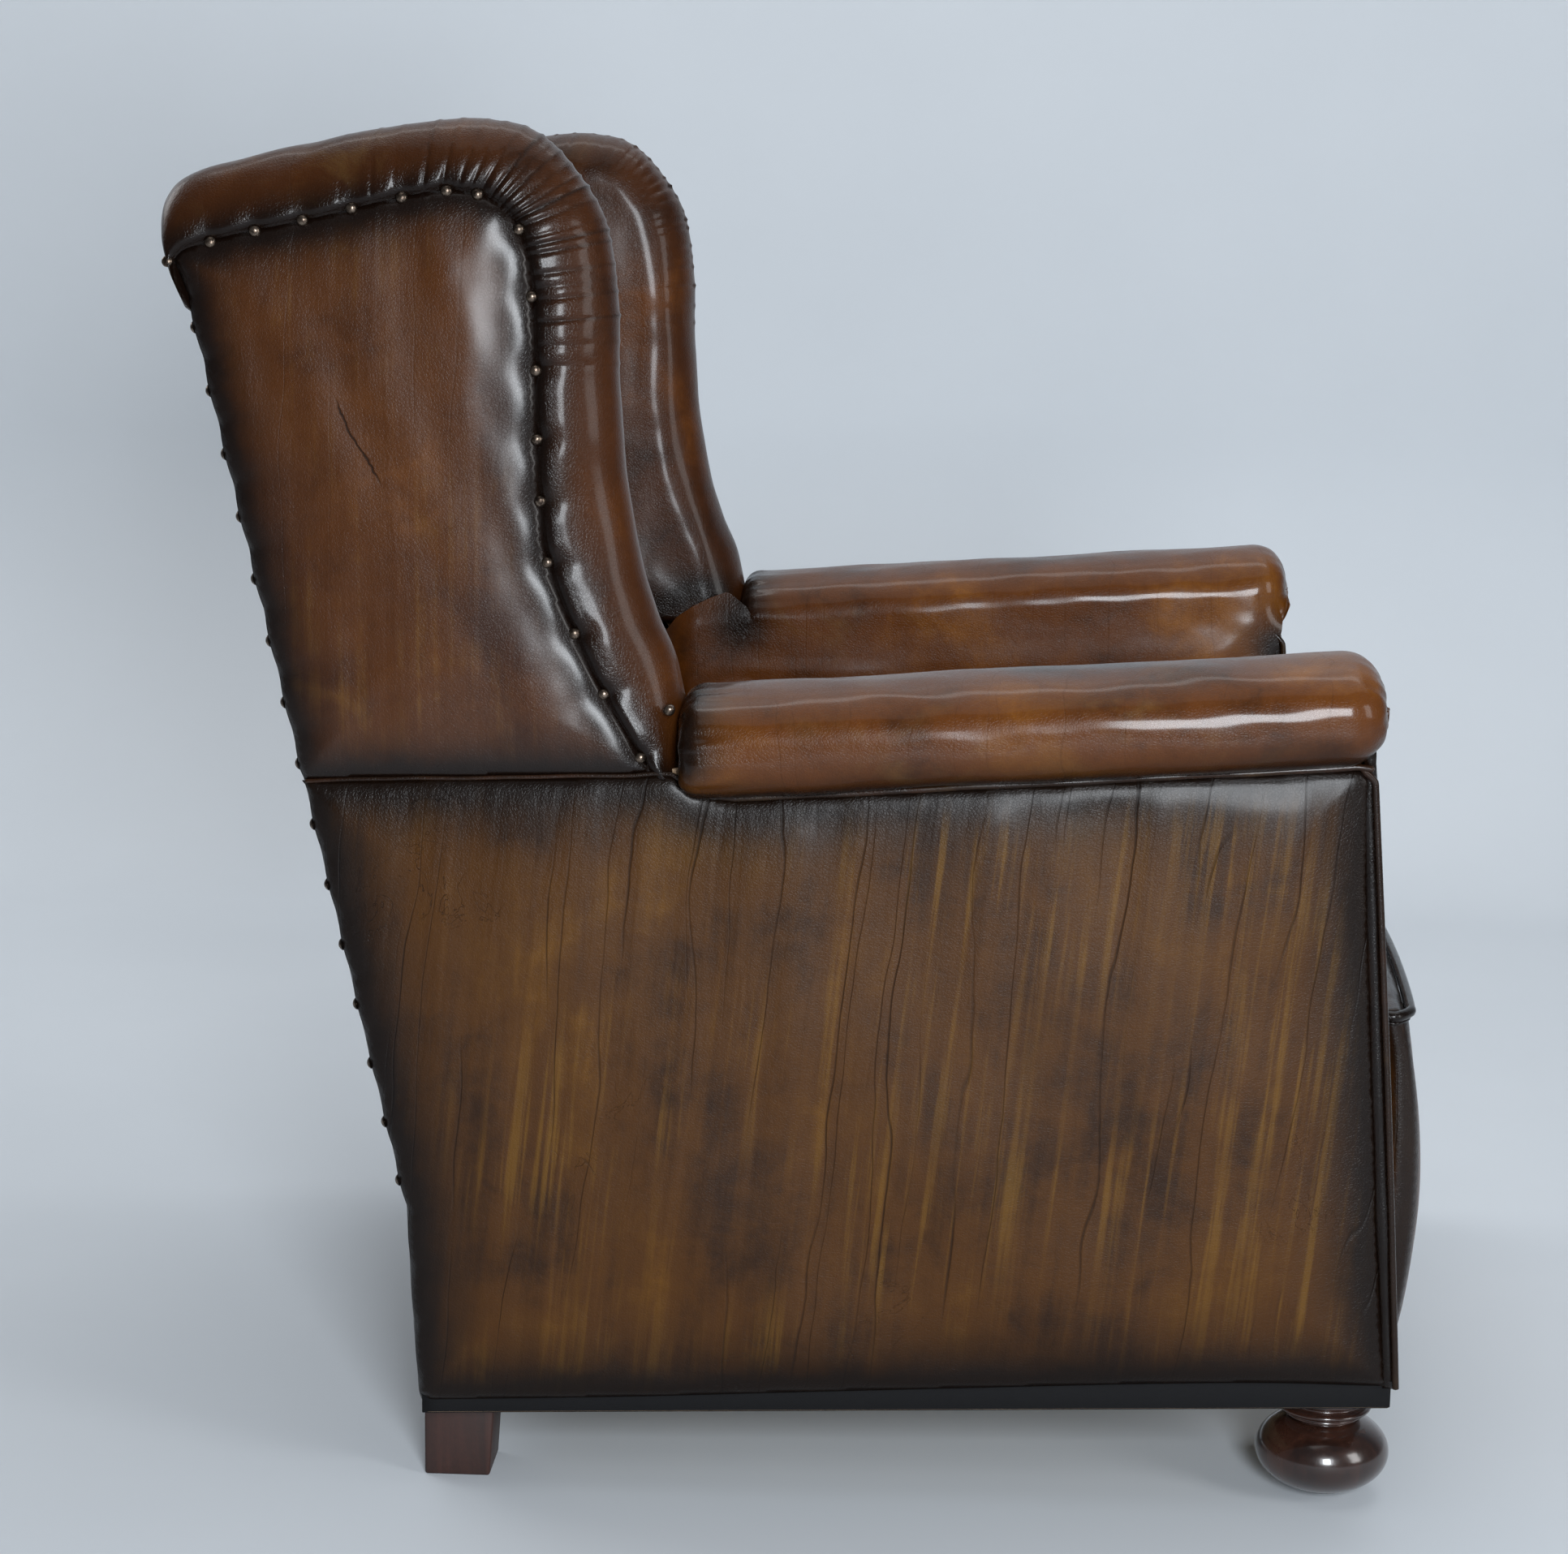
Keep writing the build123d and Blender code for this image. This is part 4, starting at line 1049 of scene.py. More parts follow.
@dataclass
class Wings:
    """Padded wings: the rolls with their gathered corners, and the inside covers."""

    leather: bpy.types.Material
    outer_x: float = 384.0
    rim_x: float = 343.0
    inner_x: float = 300.0
    inner_reach: float = 44.0
    columns: int = 560
    outer_rows: int = 34
    inner_rows: int = 20
    tuck: float = 2.6
    puff: float = 2.4
    pleat_depth: float = 3.2
    pleat_corner: Point2 = (175.0, 980.0)
    nail_reach: float = 8.0
    nails: np.ndarray = field(default_factory=lambda: np.asarray(WING_NAILS, float))

    def curves(self) -> tuple[np.ndarray, np.ndarray]:
        """Seam and rim of the roll, point by point together.

        Returns:
            The two curves as side outlines.
        """
        both = np.hstack([np.asarray(WING_SEAM, float), np.asarray(WING_RIM, float)])
        made = spline(both, self.columns)
        return made[:, :2], made[:, 2:]

    def pleats(self, rim: np.ndarray) -> np.ndarray:
        """Gathers around the top front corner.

        Args:
            rim: The rim's curve.

        Returns:
            Depth of the pleats along the curve, as a wave from -1 to 0.
        """
        steps = np.linalg.norm(np.diff(rim, axis=0), axis=1)
        along = np.concatenate([[0], np.cumsum(steps)])
        draw = np.random.default_rng(11)
        away = rim - self.pleat_corner
        corner = along[np.argmin(np.hypot(away[:, 0], away[:, 1]))]
        spots = []
        at = corner - 135
        while at < corner + 190:
            spots.append(at)
            near = min(1.0, abs(at - corner) / 150)
            at += draw.uniform(6.5, 14.0) * (1 + 1.3 * near**2)
        wave = np.zeros(len(rim))
        for at in spots:
            near = max(0.0, 1 - (abs(at - corner) / 200) ** 2)
            depth = draw.uniform(0.35, 1.0) * near
            width = draw.uniform(1.5, 2.6)
            wave = np.minimum(wave, -depth * np.exp(-np.abs((along - at) / width) ** 1.3))
        return wave

    def roll(self, seam: np.ndarray, rim: np.ndarray, pleats: np.ndarray) -> np.ndarray:
        """Net of the roll, from the seam over the rim and in behind it.

        Args:
            seam: The seam's curve.
            rim: The rim's curve.
            pleats: The wave of the gathers.

        Returns:
            Points as rows, columns and x, y, z.
        """
        span = seam - rim
        width = np.linalg.norm(span, axis=1)
        inward = span / width[:, None]
        gaps = np.linalg.norm(seam[:, None] - self.nails[None], axis=2).min(1)
        pull = np.exp(-((gaps / self.nail_reach) ** 2))
        rows = []
        for angle in np.linspace(math.pi / 2, 0, self.outer_rows):
            share = 1 - math.cos(angle) ** 1.05
            rise = math.sin(angle) ** 0.92
            from_seam = width * (1 - share)
            flat = rim + span * share
            x = self.rim_x + (self.outer_x + self.puff - self.rim_x) * rise
            x = x - (self.tuck + self.puff + 1.8 * pull) * np.exp(-((from_seam / 4.0) ** 1.2))
            hem = np.exp(-(((from_seam - 6.0) / 2.8) ** 2)) * (0.8 - 0.7 * pull)
            dips = pull * 1.3 * np.exp(-((from_seam - 6) / 12.0) ** 2)
            reach = smooth(1 - from_seam / width, -0.35, 0.55) * smooth(from_seam, 0, 5)
            depth = pleats * self.pleat_depth * (0.35 + 0.65 * reach)
            x = x + hem - dips + depth * rise
            flat = flat + inward * (depth * math.cos(angle))[:, None]
            rows.append(np.column_stack([x, flat]))
        behind = np.minimum(self.inner_reach, width + 22)
        for angle in np.linspace(0, -math.pi / 2, self.inner_rows)[1:]:
            share = 1 - math.cos(angle)
            drop = -math.sin(angle)
            fade = max(0.0, 1 - share * 1.3)
            flat = rim + inward * (behind * share)[:, None]
            flat = flat + inward * (-pleats * self.pleat_depth * 0.6 * fade)[:, None]
            x = self.rim_x - (self.rim_x - self.inner_x) * drop
            x = np.full(len(rim), x) - pleats * 0.6 * fade * drop
            rows.append(np.column_stack([x, flat]))
        return np.array(rows)

    def build(self) -> None:
        """Make both wings."""
        seam, rim = self.curves()
        pleats = self.pleats(rim)
        net = self.roll(seam, rim, pleats)
        ring = net[-1]
        corners = [ring[-1, 1:], (420, 860), (330, 592), (160, 572), ring[0, 1:]]
        extra = evenly(np.array(corners, float), 90)[1:-1]
        skin = Skin()
        skin.grid(net)

        def place(flat: np.ndarray, near: np.ndarray) -> np.ndarray:
            """Inside cover: nearly flat, a little full in the middle."""
            return np.column_stack([self.inner_x - 4.0 * smooth(near, 0, 70), flat])

        skin.patch(np.vstack([ring[:, 1:], extra]), 6.0, place)
        edge = [net[0], net[:, -1], on_side(extra, self.inner_x), net[::-1, 0][1:]]
        skin.cone(np.vstack(edge), (345, 300, 760))
        seam_line = on_side(seam, self.outer_x - 2)
        tuck = evenly(np.array([(100.0, 604), (146, 604), (180, 584)]), 40)
        tuck_line = on_side(tuck, self.inner_x)

        def relief(at: np.ndarray) -> np.ndarray:
            """Slight unevenness of the stuffing."""
            soft = ripple(at, (120, 90, 90), 3) + ripple(at, (40, 34, 34), 4) * 0.14
            return soft * smooth(distance(at, seam_line), 2, 22)

        # Darkened along the seam by burnish, and along the tuck by painted shade
        cover = Cover(self.leather, [seam_line, tuck_line], 24.0, 0.85, relief)
        levels = np.linspace(0, 1, 6)[:, None, None]
        across = (seam + (rim - seam) * levels).reshape(-1, 2)
        for piece in cover.pair(skin, "wing_cover", "wing_leather", "wing_stuffing"):
            spots = piece.spots()
            column = nearest(spots[:, 1:], across) % len(seam)
            outer = smooth(np.abs(spots[:, 0]), 325, 350)
            # Painted shade in the folds of the gathers, deepest in the deep pleats on the roll's
            # outer part
            piece.paint("fold", np.clip(-pleats[column] * 1.3 - 0.25, 0, 1) * outer)


# Arms


@dataclass
class Arms:
    """Rolled arms with the inside arm in one hide, their facings, welts and piping."""

    leather: bpy.types.Material
    dark: bpy.types.Material
    centre_x: float = 352.0
    half_width: float = 63.0
    half_height: float = 40.5
    front_y: float = -407.0
    rear_y: float = 101.0
    front_round: float = 31.0
    rear_round: float = 16.0
    power: float = 2.15
    low_power: float = 3.0
    inside_x: float = 289.0
    inside_low: float = 338.0
    around: int = 110
    nose_rows: int = 16
    round_rows: int = 20
    stations: int = 190
    rear_rows: int = 12

    def section(self, y: float) -> tuple[np.ndarray, np.ndarray]:
        """Outline of the roll at a y.

        Args:
            y: Place along the arm.

        Returns:
            The outline as x and z, and its inward normals.
        """
        base = float(LINES.welt(y))
        mid = base + self.half_height
        angles = np.linspace(math.pi, -math.radians(68), self.around)
        cos, sin = np.cos(angles), np.sin(angles)
        power = np.where((sin < 0) & (cos > -0.5), self.low_power, self.power)
        x = self.centre_x + self.half_width * np.sign(cos) * np.abs(cos) ** (2 / power)
        z = mid + self.half_height * np.sign(sin) * np.abs(sin) ** (2 / power)
        end = [[x[-1], z[-1]]]
        bend = np.array([[x[-1] - 12, base + 0.5]])
        inner = np.array([[296.0, base + 0.5]])
        under = np.linspace(0, 1, 14)[1:, None]
        tail = (1 - under) ** 2 * end + 2 * under * (1 - under) * bend + under**2 * inner
        outline = np.vstack([np.column_stack([x, z]), tail])
        forward = headings(outline)
        return outline, np.column_stack([forward[:, 1], -forward[:, 0]])

    def build(self) -> None:
        """Make both arms, their facings, welts and piping."""
        self.covers()
        self.facings()
        self.trims()

    def ring(self, y: float, inset: float) -> np.ndarray:
        """One ring of the roll.

        Args:
            y: Place along the arm.
            inset: How far it is drawn in.

        Returns:
            Its points.
        """
        outline, normal = self.section(y)
        moved = outline + normal * inset
        return np.column_stack([moved[:, 0], np.full(len(moved), y), moved[:, 1]])

    def roll(self) -> list[np.ndarray]:
        """Rings of the roll, from the middle of its nose to its rear end.

        Returns:
            The rings in order.
        """
        centre = np.array([self.centre_x, float(LINES.welt(self.front_y)) + self.half_height])
        first = self.ring(self.front_y, self.front_round)[:, [0, 2]]
        rows = []
        for share in np.linspace(0, 1, self.nose_rows):
            flat = centre + (first - centre) * share
            y = self.front_y - 3.0 * (1 - share**2)
            rows.append(np.column_stack([flat[:, 0], np.full(len(flat), y), flat[:, 1]]))
        for angle in np.linspace(math.pi / 2, 0, self.round_rows)[1:]:
            y = self.front_y + self.front_round * (1 - math.sin(angle))
            rows.append(self.ring(y, self.front_round * (1 - math.cos(angle))))
        start = self.front_y + self.front_round
        end = self.rear_y - self.rear_round
        for y in np.linspace(start, end, self.stations)[1:]:
            rows.append(self.ring(y, 0))
        for angle in np.linspace(0, math.pi / 2, self.rear_rows)[1:]:
            y = self.rear_y - self.rear_round * (1 - math.sin(angle))
            rows.append(self.ring(y, self.rear_round * (1 - math.cos(angle))))
        return rows

    def inside_loop(self, top: np.ndarray) -> np.ndarray:
        """Side outline of the inside arm.

        Args:
            top: The roll's line that it hangs from.

        Returns:
            The outline, from the front of that line backwards and round.
        """
        low = self.inside_low
        front = [(float(LINES.facing(z)) + 3, z) for z in np.linspace(low, 566, 55)]
        front += [(-401.0, 578), (-402.4, 592), (-402.8, 604)]
        rear = [(top[-1, 0] + 6, top[-1, 1] + 12), (112, 604), (128, 598), (144, 590), (160, 579),
                (170, 566), (172, 545), (150, 480), (132, 420), (122, low)]
        bottom = evenly(np.array([(122.0, low), (front[0][0], low)]), 90)[1:-1]
        return np.vstack([top, evenly(np.array(rear, float), 70)[1:], bottom, front])

    def seams(self) -> list[np.ndarray]:
        """Lines that the hide is darkened along: burnish, and painted shade under the roll, in the
        rear tuck and in the crevice at the seat.

        Returns:
            The welt, the inside front edge, the rear tuck and the crevice at the seat.
        """
        inner, outer, rear = self.inside_x, LINES.body_half + 1.0, self.rear_y - 1
        return [
            np.array([(outer, y, LINES.welt(y)) for y in np.linspace(self.front_y, 98, 200)]),
            np.array([(inner, LINES.facing(z), z) for z in np.linspace(330, 560, 80)]),
            np.array([(x, rear, 575 + 40 * math.sin((x - inner) / 126 * math.pi))
                      for x in np.linspace(inner, 415, 60)]),
            np.array([(inner, y, 392.0) for y in np.linspace(-430, 125, 120)]),
        ]

    def darken_nose(self, piece: Piece) -> None:
        """Burnish the rounded front end of the roll.

        Args:
            piece: The arm's cover.
        """
        spots = piece.spots()
        nose = self.ring(self.front_y + 4, self.front_round * 0.62)
        near = np.minimum(distance(spots, nose), distance(spots, nose * (-1, 1, 1)))
        tip = np.exp(-((spots[:, 1] - self.front_y) / 30) ** 2)
        layer = piece.item.data.attributes["burnish_and_shade"]
        value = np.zeros(len(spots), np.float32)
        layer.data.foreach_get("value", value)
        layer.data.foreach_set("value", np.maximum(value, 0.55 * tip * np.exp(-near / 14)))

    def covers(self) -> None:
        """The hides over the rolls and the inside arms."""
        rows = self.roll()
        net = np.array(rows)
        skin = Skin()
        skin.grid(net)
        across = np.linspace(0, 1, 12)[:, None]
        rounded = self.nose_rows - 1 + self.round_rows
        skin.grid(np.array([row[0] + (row[-1] - row[0]) * across for row in rows[:rounded]]))
        skin.cone(net[-1], (self.centre_x, self.rear_y, float(LINES.welt(self.rear_y)) + 40))
        top = net[self.nose_rows + 2:rounded + self.stations - 1, 0]

        def place(flat: np.ndarray, near: np.ndarray) -> np.ndarray:
            """Inside arm: flat at the roll, gently full below it.

            Args:
                flat: Points in the cover's own plane.
                near: Their distances to its outline.

            Returns:
                Places in space.
            """
            drop = LINES.welt(flat[:, 0]) + self.half_height - flat[:, 1]
            full = 3.0 * smooth(near, 0, 60) * smooth(drop, 0, 60)
            turn = 6.0 * (1 - smooth(near, 0, 7)) * smooth(drop, 46, 60)
            ahead = np.clip(1 - (flat[:, 0] - self.front_y) / self.front_round, 0, 0.9999)
            inset = self.front_round * (1 - np.sqrt(1 - ahead**2))
            turn = turn + inset * smooth(drop, 46, 4)
            rear_turn = 5.0 * smooth(-drop, 0, 30) + 7.0 * smooth(flat[:, 0], 140, 172)
            x = self.centre_x - self.half_width - full + turn + rear_turn
            return np.column_stack([x, flat])

        skin.patch(self.inside_loop(top[:, [1, 2]]), 6.0, place)

        def relief(at: np.ndarray) -> np.ndarray:
            """Unevenness of the stuffing and small pulls at both ends.

            Args:
                at: Places on the cover.

            Returns:
                How far each moves out.
            """
            soft = ripple(at, (90, 150, 80), 21) + ripple(at, (34, 60, 34), 22) * 0.25
            ends = np.exp(-np.abs(at[:, 1] - 86) / 22)
            rim = ripple(at, (16, 200, 16), 23) * 1.5 * ends
            front = np.exp(-((at[:, 1] - self.front_y) / 22) ** 2) * smooth(at[:, 2], 560, 590)
            rim += ripple(at, (15, 300, 15), 24) * 0.45 * front
            away = np.abs(at[:, 0] - self.inside_x) + np.maximum(at[:, 2] - 574, 0)
            hold = np.where(at[:, 2] > 540, 0.25 + 0.75 * smooth(away, 0, 12), 1.0)
            return (soft + rim) * hold

        cover = Cover(self.leather, self.seams(), 34.0, 0.85, relief)
        for piece in cover.pair(skin, "arm_cover", "arm_leather", "arm_roll_stuffing",
                                "inside_arm_stuffing"):
            self.darken_nose(piece)

    def facings(self) -> None:
        """Front panels of the arms."""
        low_z, high_z = 98.0, 588.0
        inner, outer = 291.5, 383.4
        corners = [(inner + 14, high_z), (inner, high_z - 22), (inner, low_z + 6),
                   (inner + 6, low_z), (outer - 16, low_z), (outer - 5, low_z + 3),
                   (outer, low_z + 13), (outer, high_z)]
        loop = evenly(np.array(corners + corners[:1], float), 420, closed=True)

        def place(flat: np.ndarray, near: np.ndarray) -> np.ndarray:
            """Facing: full between its piped edges.

            Args:
                flat: Points in the cover's own plane.
                near: Their distances to its outline.

            Returns:
                Places in space.
            """
            out = 4.5 * (1 - np.exp(-near / 14)) - 3.0 * np.exp(-near / 2.5)
            out = out * smooth(high_z - flat[:, 1], 4, 40)
            return np.column_stack([flat[:, 0], LINES.facing(flat[:, 1]) - out, flat[:, 1]])

        def relief(at: np.ndarray) -> np.ndarray:
            """Slight unevenness."""
            return ripple(at, (60, 90, 110), 31) * 0.6 + ripple(at, (20, 90, 60), 32) * 0.2

        skin = Skin()
        tip = (337, float(LINES.facing(300)) + 8, 300)
        rim = skin.panel(loop, 4.5, place, lambda line: line + (0, 8, 0), tip)
        cover = Cover(self.dark, [rim], 17.0, 0.6, relief)
        cover.pair(skin, "arm_facing_cover", "arm_facing")

    def trims(self) -> None:
        """Welts under the rolls and the piping of the facings."""
        welts, pipes = Skin(), Skin()
        for sign in (1, -1):
            y = np.linspace(-398, 374, 420)
            wobble = 0.6 * np.sin(y / 23.0) + 0.35 * np.sin(y / 9.0 + 1)
            z = outside_arm_top(y) + 0.3 + wobble * 0.45 - 2.0 * smooth(-y, 385, 399)
            under = smooth(y, 112, 84)
            line = np.column_stack([383.0 + 2.6 * under + wobble * 0.2, y, z])
            welts.tube(line * (sign, 1, 1), 1.6 + 0.9 * under)
            z = np.linspace(104, 573, 200)
            bow = 1.5 * np.sin((z - 104) / 470 * math.pi)
            back = 9.0 * smooth(z, 560, 573)
            outer = 384.4 + 0.25 * np.sin(z / 17)
            line = np.column_stack([outer, LINES.facing(z) + 1.6 - bow + back, z])
            pipes.tube(line * (sign, 1, 1), 2.5)
            z = np.linspace(101, 582, 200)
            back = 12.0 * smooth(z, 564, 582)
            inner = 290.6 + 0.2 * np.sin(z / 21) + 3.0 * smooth(z, 566, 582)
            line = np.column_stack([inner, LINES.facing(z) - 1.0 + back, z])
            pipes.tube(line * (sign, 1, 1), 2.4)
        for skin, name, node in ((welts, "arm_welt_cords", "arm_welts"),
                                 (pipes, "facing_piping_cords", "facing_piping")):
            skin.piece(name).stain(0.5).finish(self.dark, "brown_leather", node)


# Outside covers


@dataclass
class OutsideCovers:
    """Hides over the outsides of the arms, wings and back."""

    arm_leather: bpy.types.Material
    wing_leather: bpy.types.Material
    back_leather: bpy.types.Material
    face_x: float = 384.0
    back_x: float = 378.2
    fill: float = 0.35
    spacing: float = 4.5
    scallop_pitch: float = 45.0
    mid_seam_rear: float = 377.0
    back_half: float = 376.5
    back_low: float = 61.0
    back_high: float = 932.0

    def rear_edge(self, low: float, high: float, count: int) -> np.ndarray:
        """Rear edge of the side covers, scalloped between its nails.

        Args:
            low: Lower height.
            high: Upper height.
            count: Number of points.

        Returns:
            Side outline from low to high.
        """
        z = np.linspace(low, high, count)
        return np.column_stack([LINES.rear(z) - 3.2 + 2.4 * self.scallops(z), z])

    def scallops(self, z: np.ndarray) -> np.ndarray:
        """Bows between the nails of the back's edges, from 0 at a nail to 1."""
        return np.abs(np.sin((z - LINES.knee[1]) / self.scallop_pitch * math.pi)) ** 0.7

    def closed(self, loop: np.ndarray, crown: Place, tip: Sequence[float]) -> Skin:
        """Side cover with a turned edge and a back.

        Args:
            loop: Its side outline.
            crown: Gives how far it stands out of the face, from points and distances.
            tip: Point behind it that closes it.

        Returns:
            The surface.
        """

        def place(flat: np.ndarray, near: np.ndarray) -> np.ndarray:
            """Outer face."""
            return np.column_stack([self.face_x + crown(flat, near), flat])

        def turn(rim: np.ndarray) -> np.ndarray:
            """Edge against the frame."""
            return np.column_stack([np.full(len(rim), self.back_x), rim[:, 1:]])

        skin = Skin()
        skin.panel(loop, self.spacing, place, turn, tip)
        return skin

    def build(self) -> None:
        """Make the arm, wing and back covers."""
        self.arms()
        self.wings()
        self.back()

    def arms(self) -> None:
        """Outside arms."""
        y = np.linspace(self.mid_seam_rear, -388, 200)
        front = [(-397.5, 566), (-398, 518), (-401, 461), (-405, 400), (-410, 338), (-416, 260),
                 (-421, 190), (-424.5, 150), (-427.5, 126), (-429, 110)]
        bottom = [(-428, 104.5), (-412, 104.5), (-340, 104), (-244, 100), (-124, 93), (-2, 86),
                  (120, 78.5), (243, 72.5), (286, 70.5)]
        outline = np.vstack([
            np.column_stack([y, outside_arm_top(y)]),
            spline(front, 130),
            spline(bottom, 190),
            self.rear_edge(76, 542, 190),
        ])
        loop = evenly(np.vstack([outline, outline[:1]]), 780, closed=True)

        def crown(flat: np.ndarray, near: np.ndarray) -> np.ndarray:
            """Full in the middle, turned under at the edges."""
            full = 7.5 * (1 - np.exp(-near / 70)) + 2.0 * (1 - np.exp(-near / 14))
            return full - 3.0 * np.exp(-near / 3.0)

        skin = self.closed(loop, crown, (379, -60, 320))
        line = on_side(loop, self.face_x)

        def relief(at: np.ndarray) -> np.ndarray:
            """Long soft ripples that run down the hide."""
            soft = ripple(at, (400, 34, 330), 41) * 0.45 + ripple(at, (300, 120, 160), 42) * 1.3
            return smooth(distance(at, line), 0, 30) * soft

        # Darkened towards its edges: burnish, and painted shade along its top under the roll
        cover = Cover(self.arm_leather, [line], 42.0, self.fill, relief)
        cover.pair(skin, "outside_arm_cover", "outside_arm")

    def wings(self) -> None:
        """Outside wings."""
        seam = spline(np.asarray(WING_SEAM, float)[1:22], 400)
        y = np.linspace(self.mid_seam_rear, 120, 120)
        lower = np.column_stack([y, outside_arm_top(y) + 0.7])
        rear = self.rear_edge(552, 905, 160)[::-1]
        outline = np.vstack([seam[2:-2], rear, lower[1:]])
        loop = evenly(np.vstack([outline, outline[:1]]), 720, closed=True)
        nails = np.asarray(WING_NAILS, float)

        def crown(flat: np.ndarray, near: np.ndarray) -> np.ndarray:
            """Full in the middle, pulled in at each nail.

            Args:
                flat: Points in the cover's own plane.
                near: Their distances to its outline.

            Returns:
                How far each stands out.
            """
            full = 7.5 * (1 - np.exp(-near / 45)) + 2.0 * (1 - np.exp(-near / 16))
            gaps = np.linalg.norm(flat[:, None] - nails[None], axis=2).min(1)
            pull = 1.8 * np.exp(-((gaps / 12.0) ** 2))
            return full - 2.0 * np.exp(-near / 3.0) - pull

        skin = self.closed(loop, crown, (379, 300, 740))
        line = on_side(loop, self.face_x)

        def relief(at: np.ndarray) -> np.ndarray:
            """Soft ripples."""
            soft = ripple(at, (300, 60, 130), 51) * 0.75 + ripple(at, (300, 28, 50), 52) * 0.16
            return smooth(distance(at, line), 0, 26) * soft

        cover = Cover(self.wing_leather, [line], 30.0, self.fill, relief)
        cover.pair(skin, "outside_wing_cover", "outside_wing")

    def back(self) -> None:
        """Outside back."""
        half, low, high = self.back_half, self.back_low, self.back_high
        z = np.linspace(low, high, 300)
        right = np.column_stack([half + 1.8 * self.scallops(z) - 1.8, z])
        x = np.linspace(half, -half, 260)[1:-1]
        top = np.column_stack([x, high - 1.6 + 1.6 * np.abs(np.sin(x / 42 * math.pi)) ** 0.7])
        left = right[::-1] * (-1, 1)
        foot = np.column_stack([x[::-1], np.full(len(x), low)])
        loop = evenly(np.vstack([right, top, left, foot, right[:1]]), 1000, closed=True)

        def place(flat: np.ndarray, near: np.ndarray) -> np.ndarray:
            """Slightly convex face in the raked plane of the back.

            Args:
                flat: Points in the cover's own plane.
                near: Their distances to its outline.

            Returns:
                Places in space.
            """
            out = 11.0 * (1 - np.exp(-near / 60)) + 2.0 * (1 - np.exp(-near / 8))
            out = out - 3.0 * np.exp(-near / 3)
            knee = smooth(flat[:, 1], 180, 260)
            tilt = LINES.heel * (1 - knee) + LINES.rake * knee
            scale = 1 / np.sqrt(1 + tilt**2)
            return np.column_stack([flat[:, 0], LINES.rear(flat[:, 1]) + out * scale - 1.0,
                                    flat[:, 1] - out * tilt * scale])

        def relief(at: np.ndarray) -> np.ndarray:
            """Long soft ripples."""
            soft = ripple(at, (60, 300, 330), 61) * 0.5 + ripple(at, (160, 300, 200), 62) * 0.9
            return smooth(distance(at, rim), 0, 30) * soft

        skin = Skin()
        tip = (0, float(LINES.rear(500)) - 45, 500)
        rim = skin.panel(loop, 6.5, place, lambda line: line + (0, -4, 0), tip)
        cover = Cover(self.back_leather, [rim], 33.0, self.fill, relief)
        cover.make(skin, "outside_back_cover", "outside_back")


# Seat


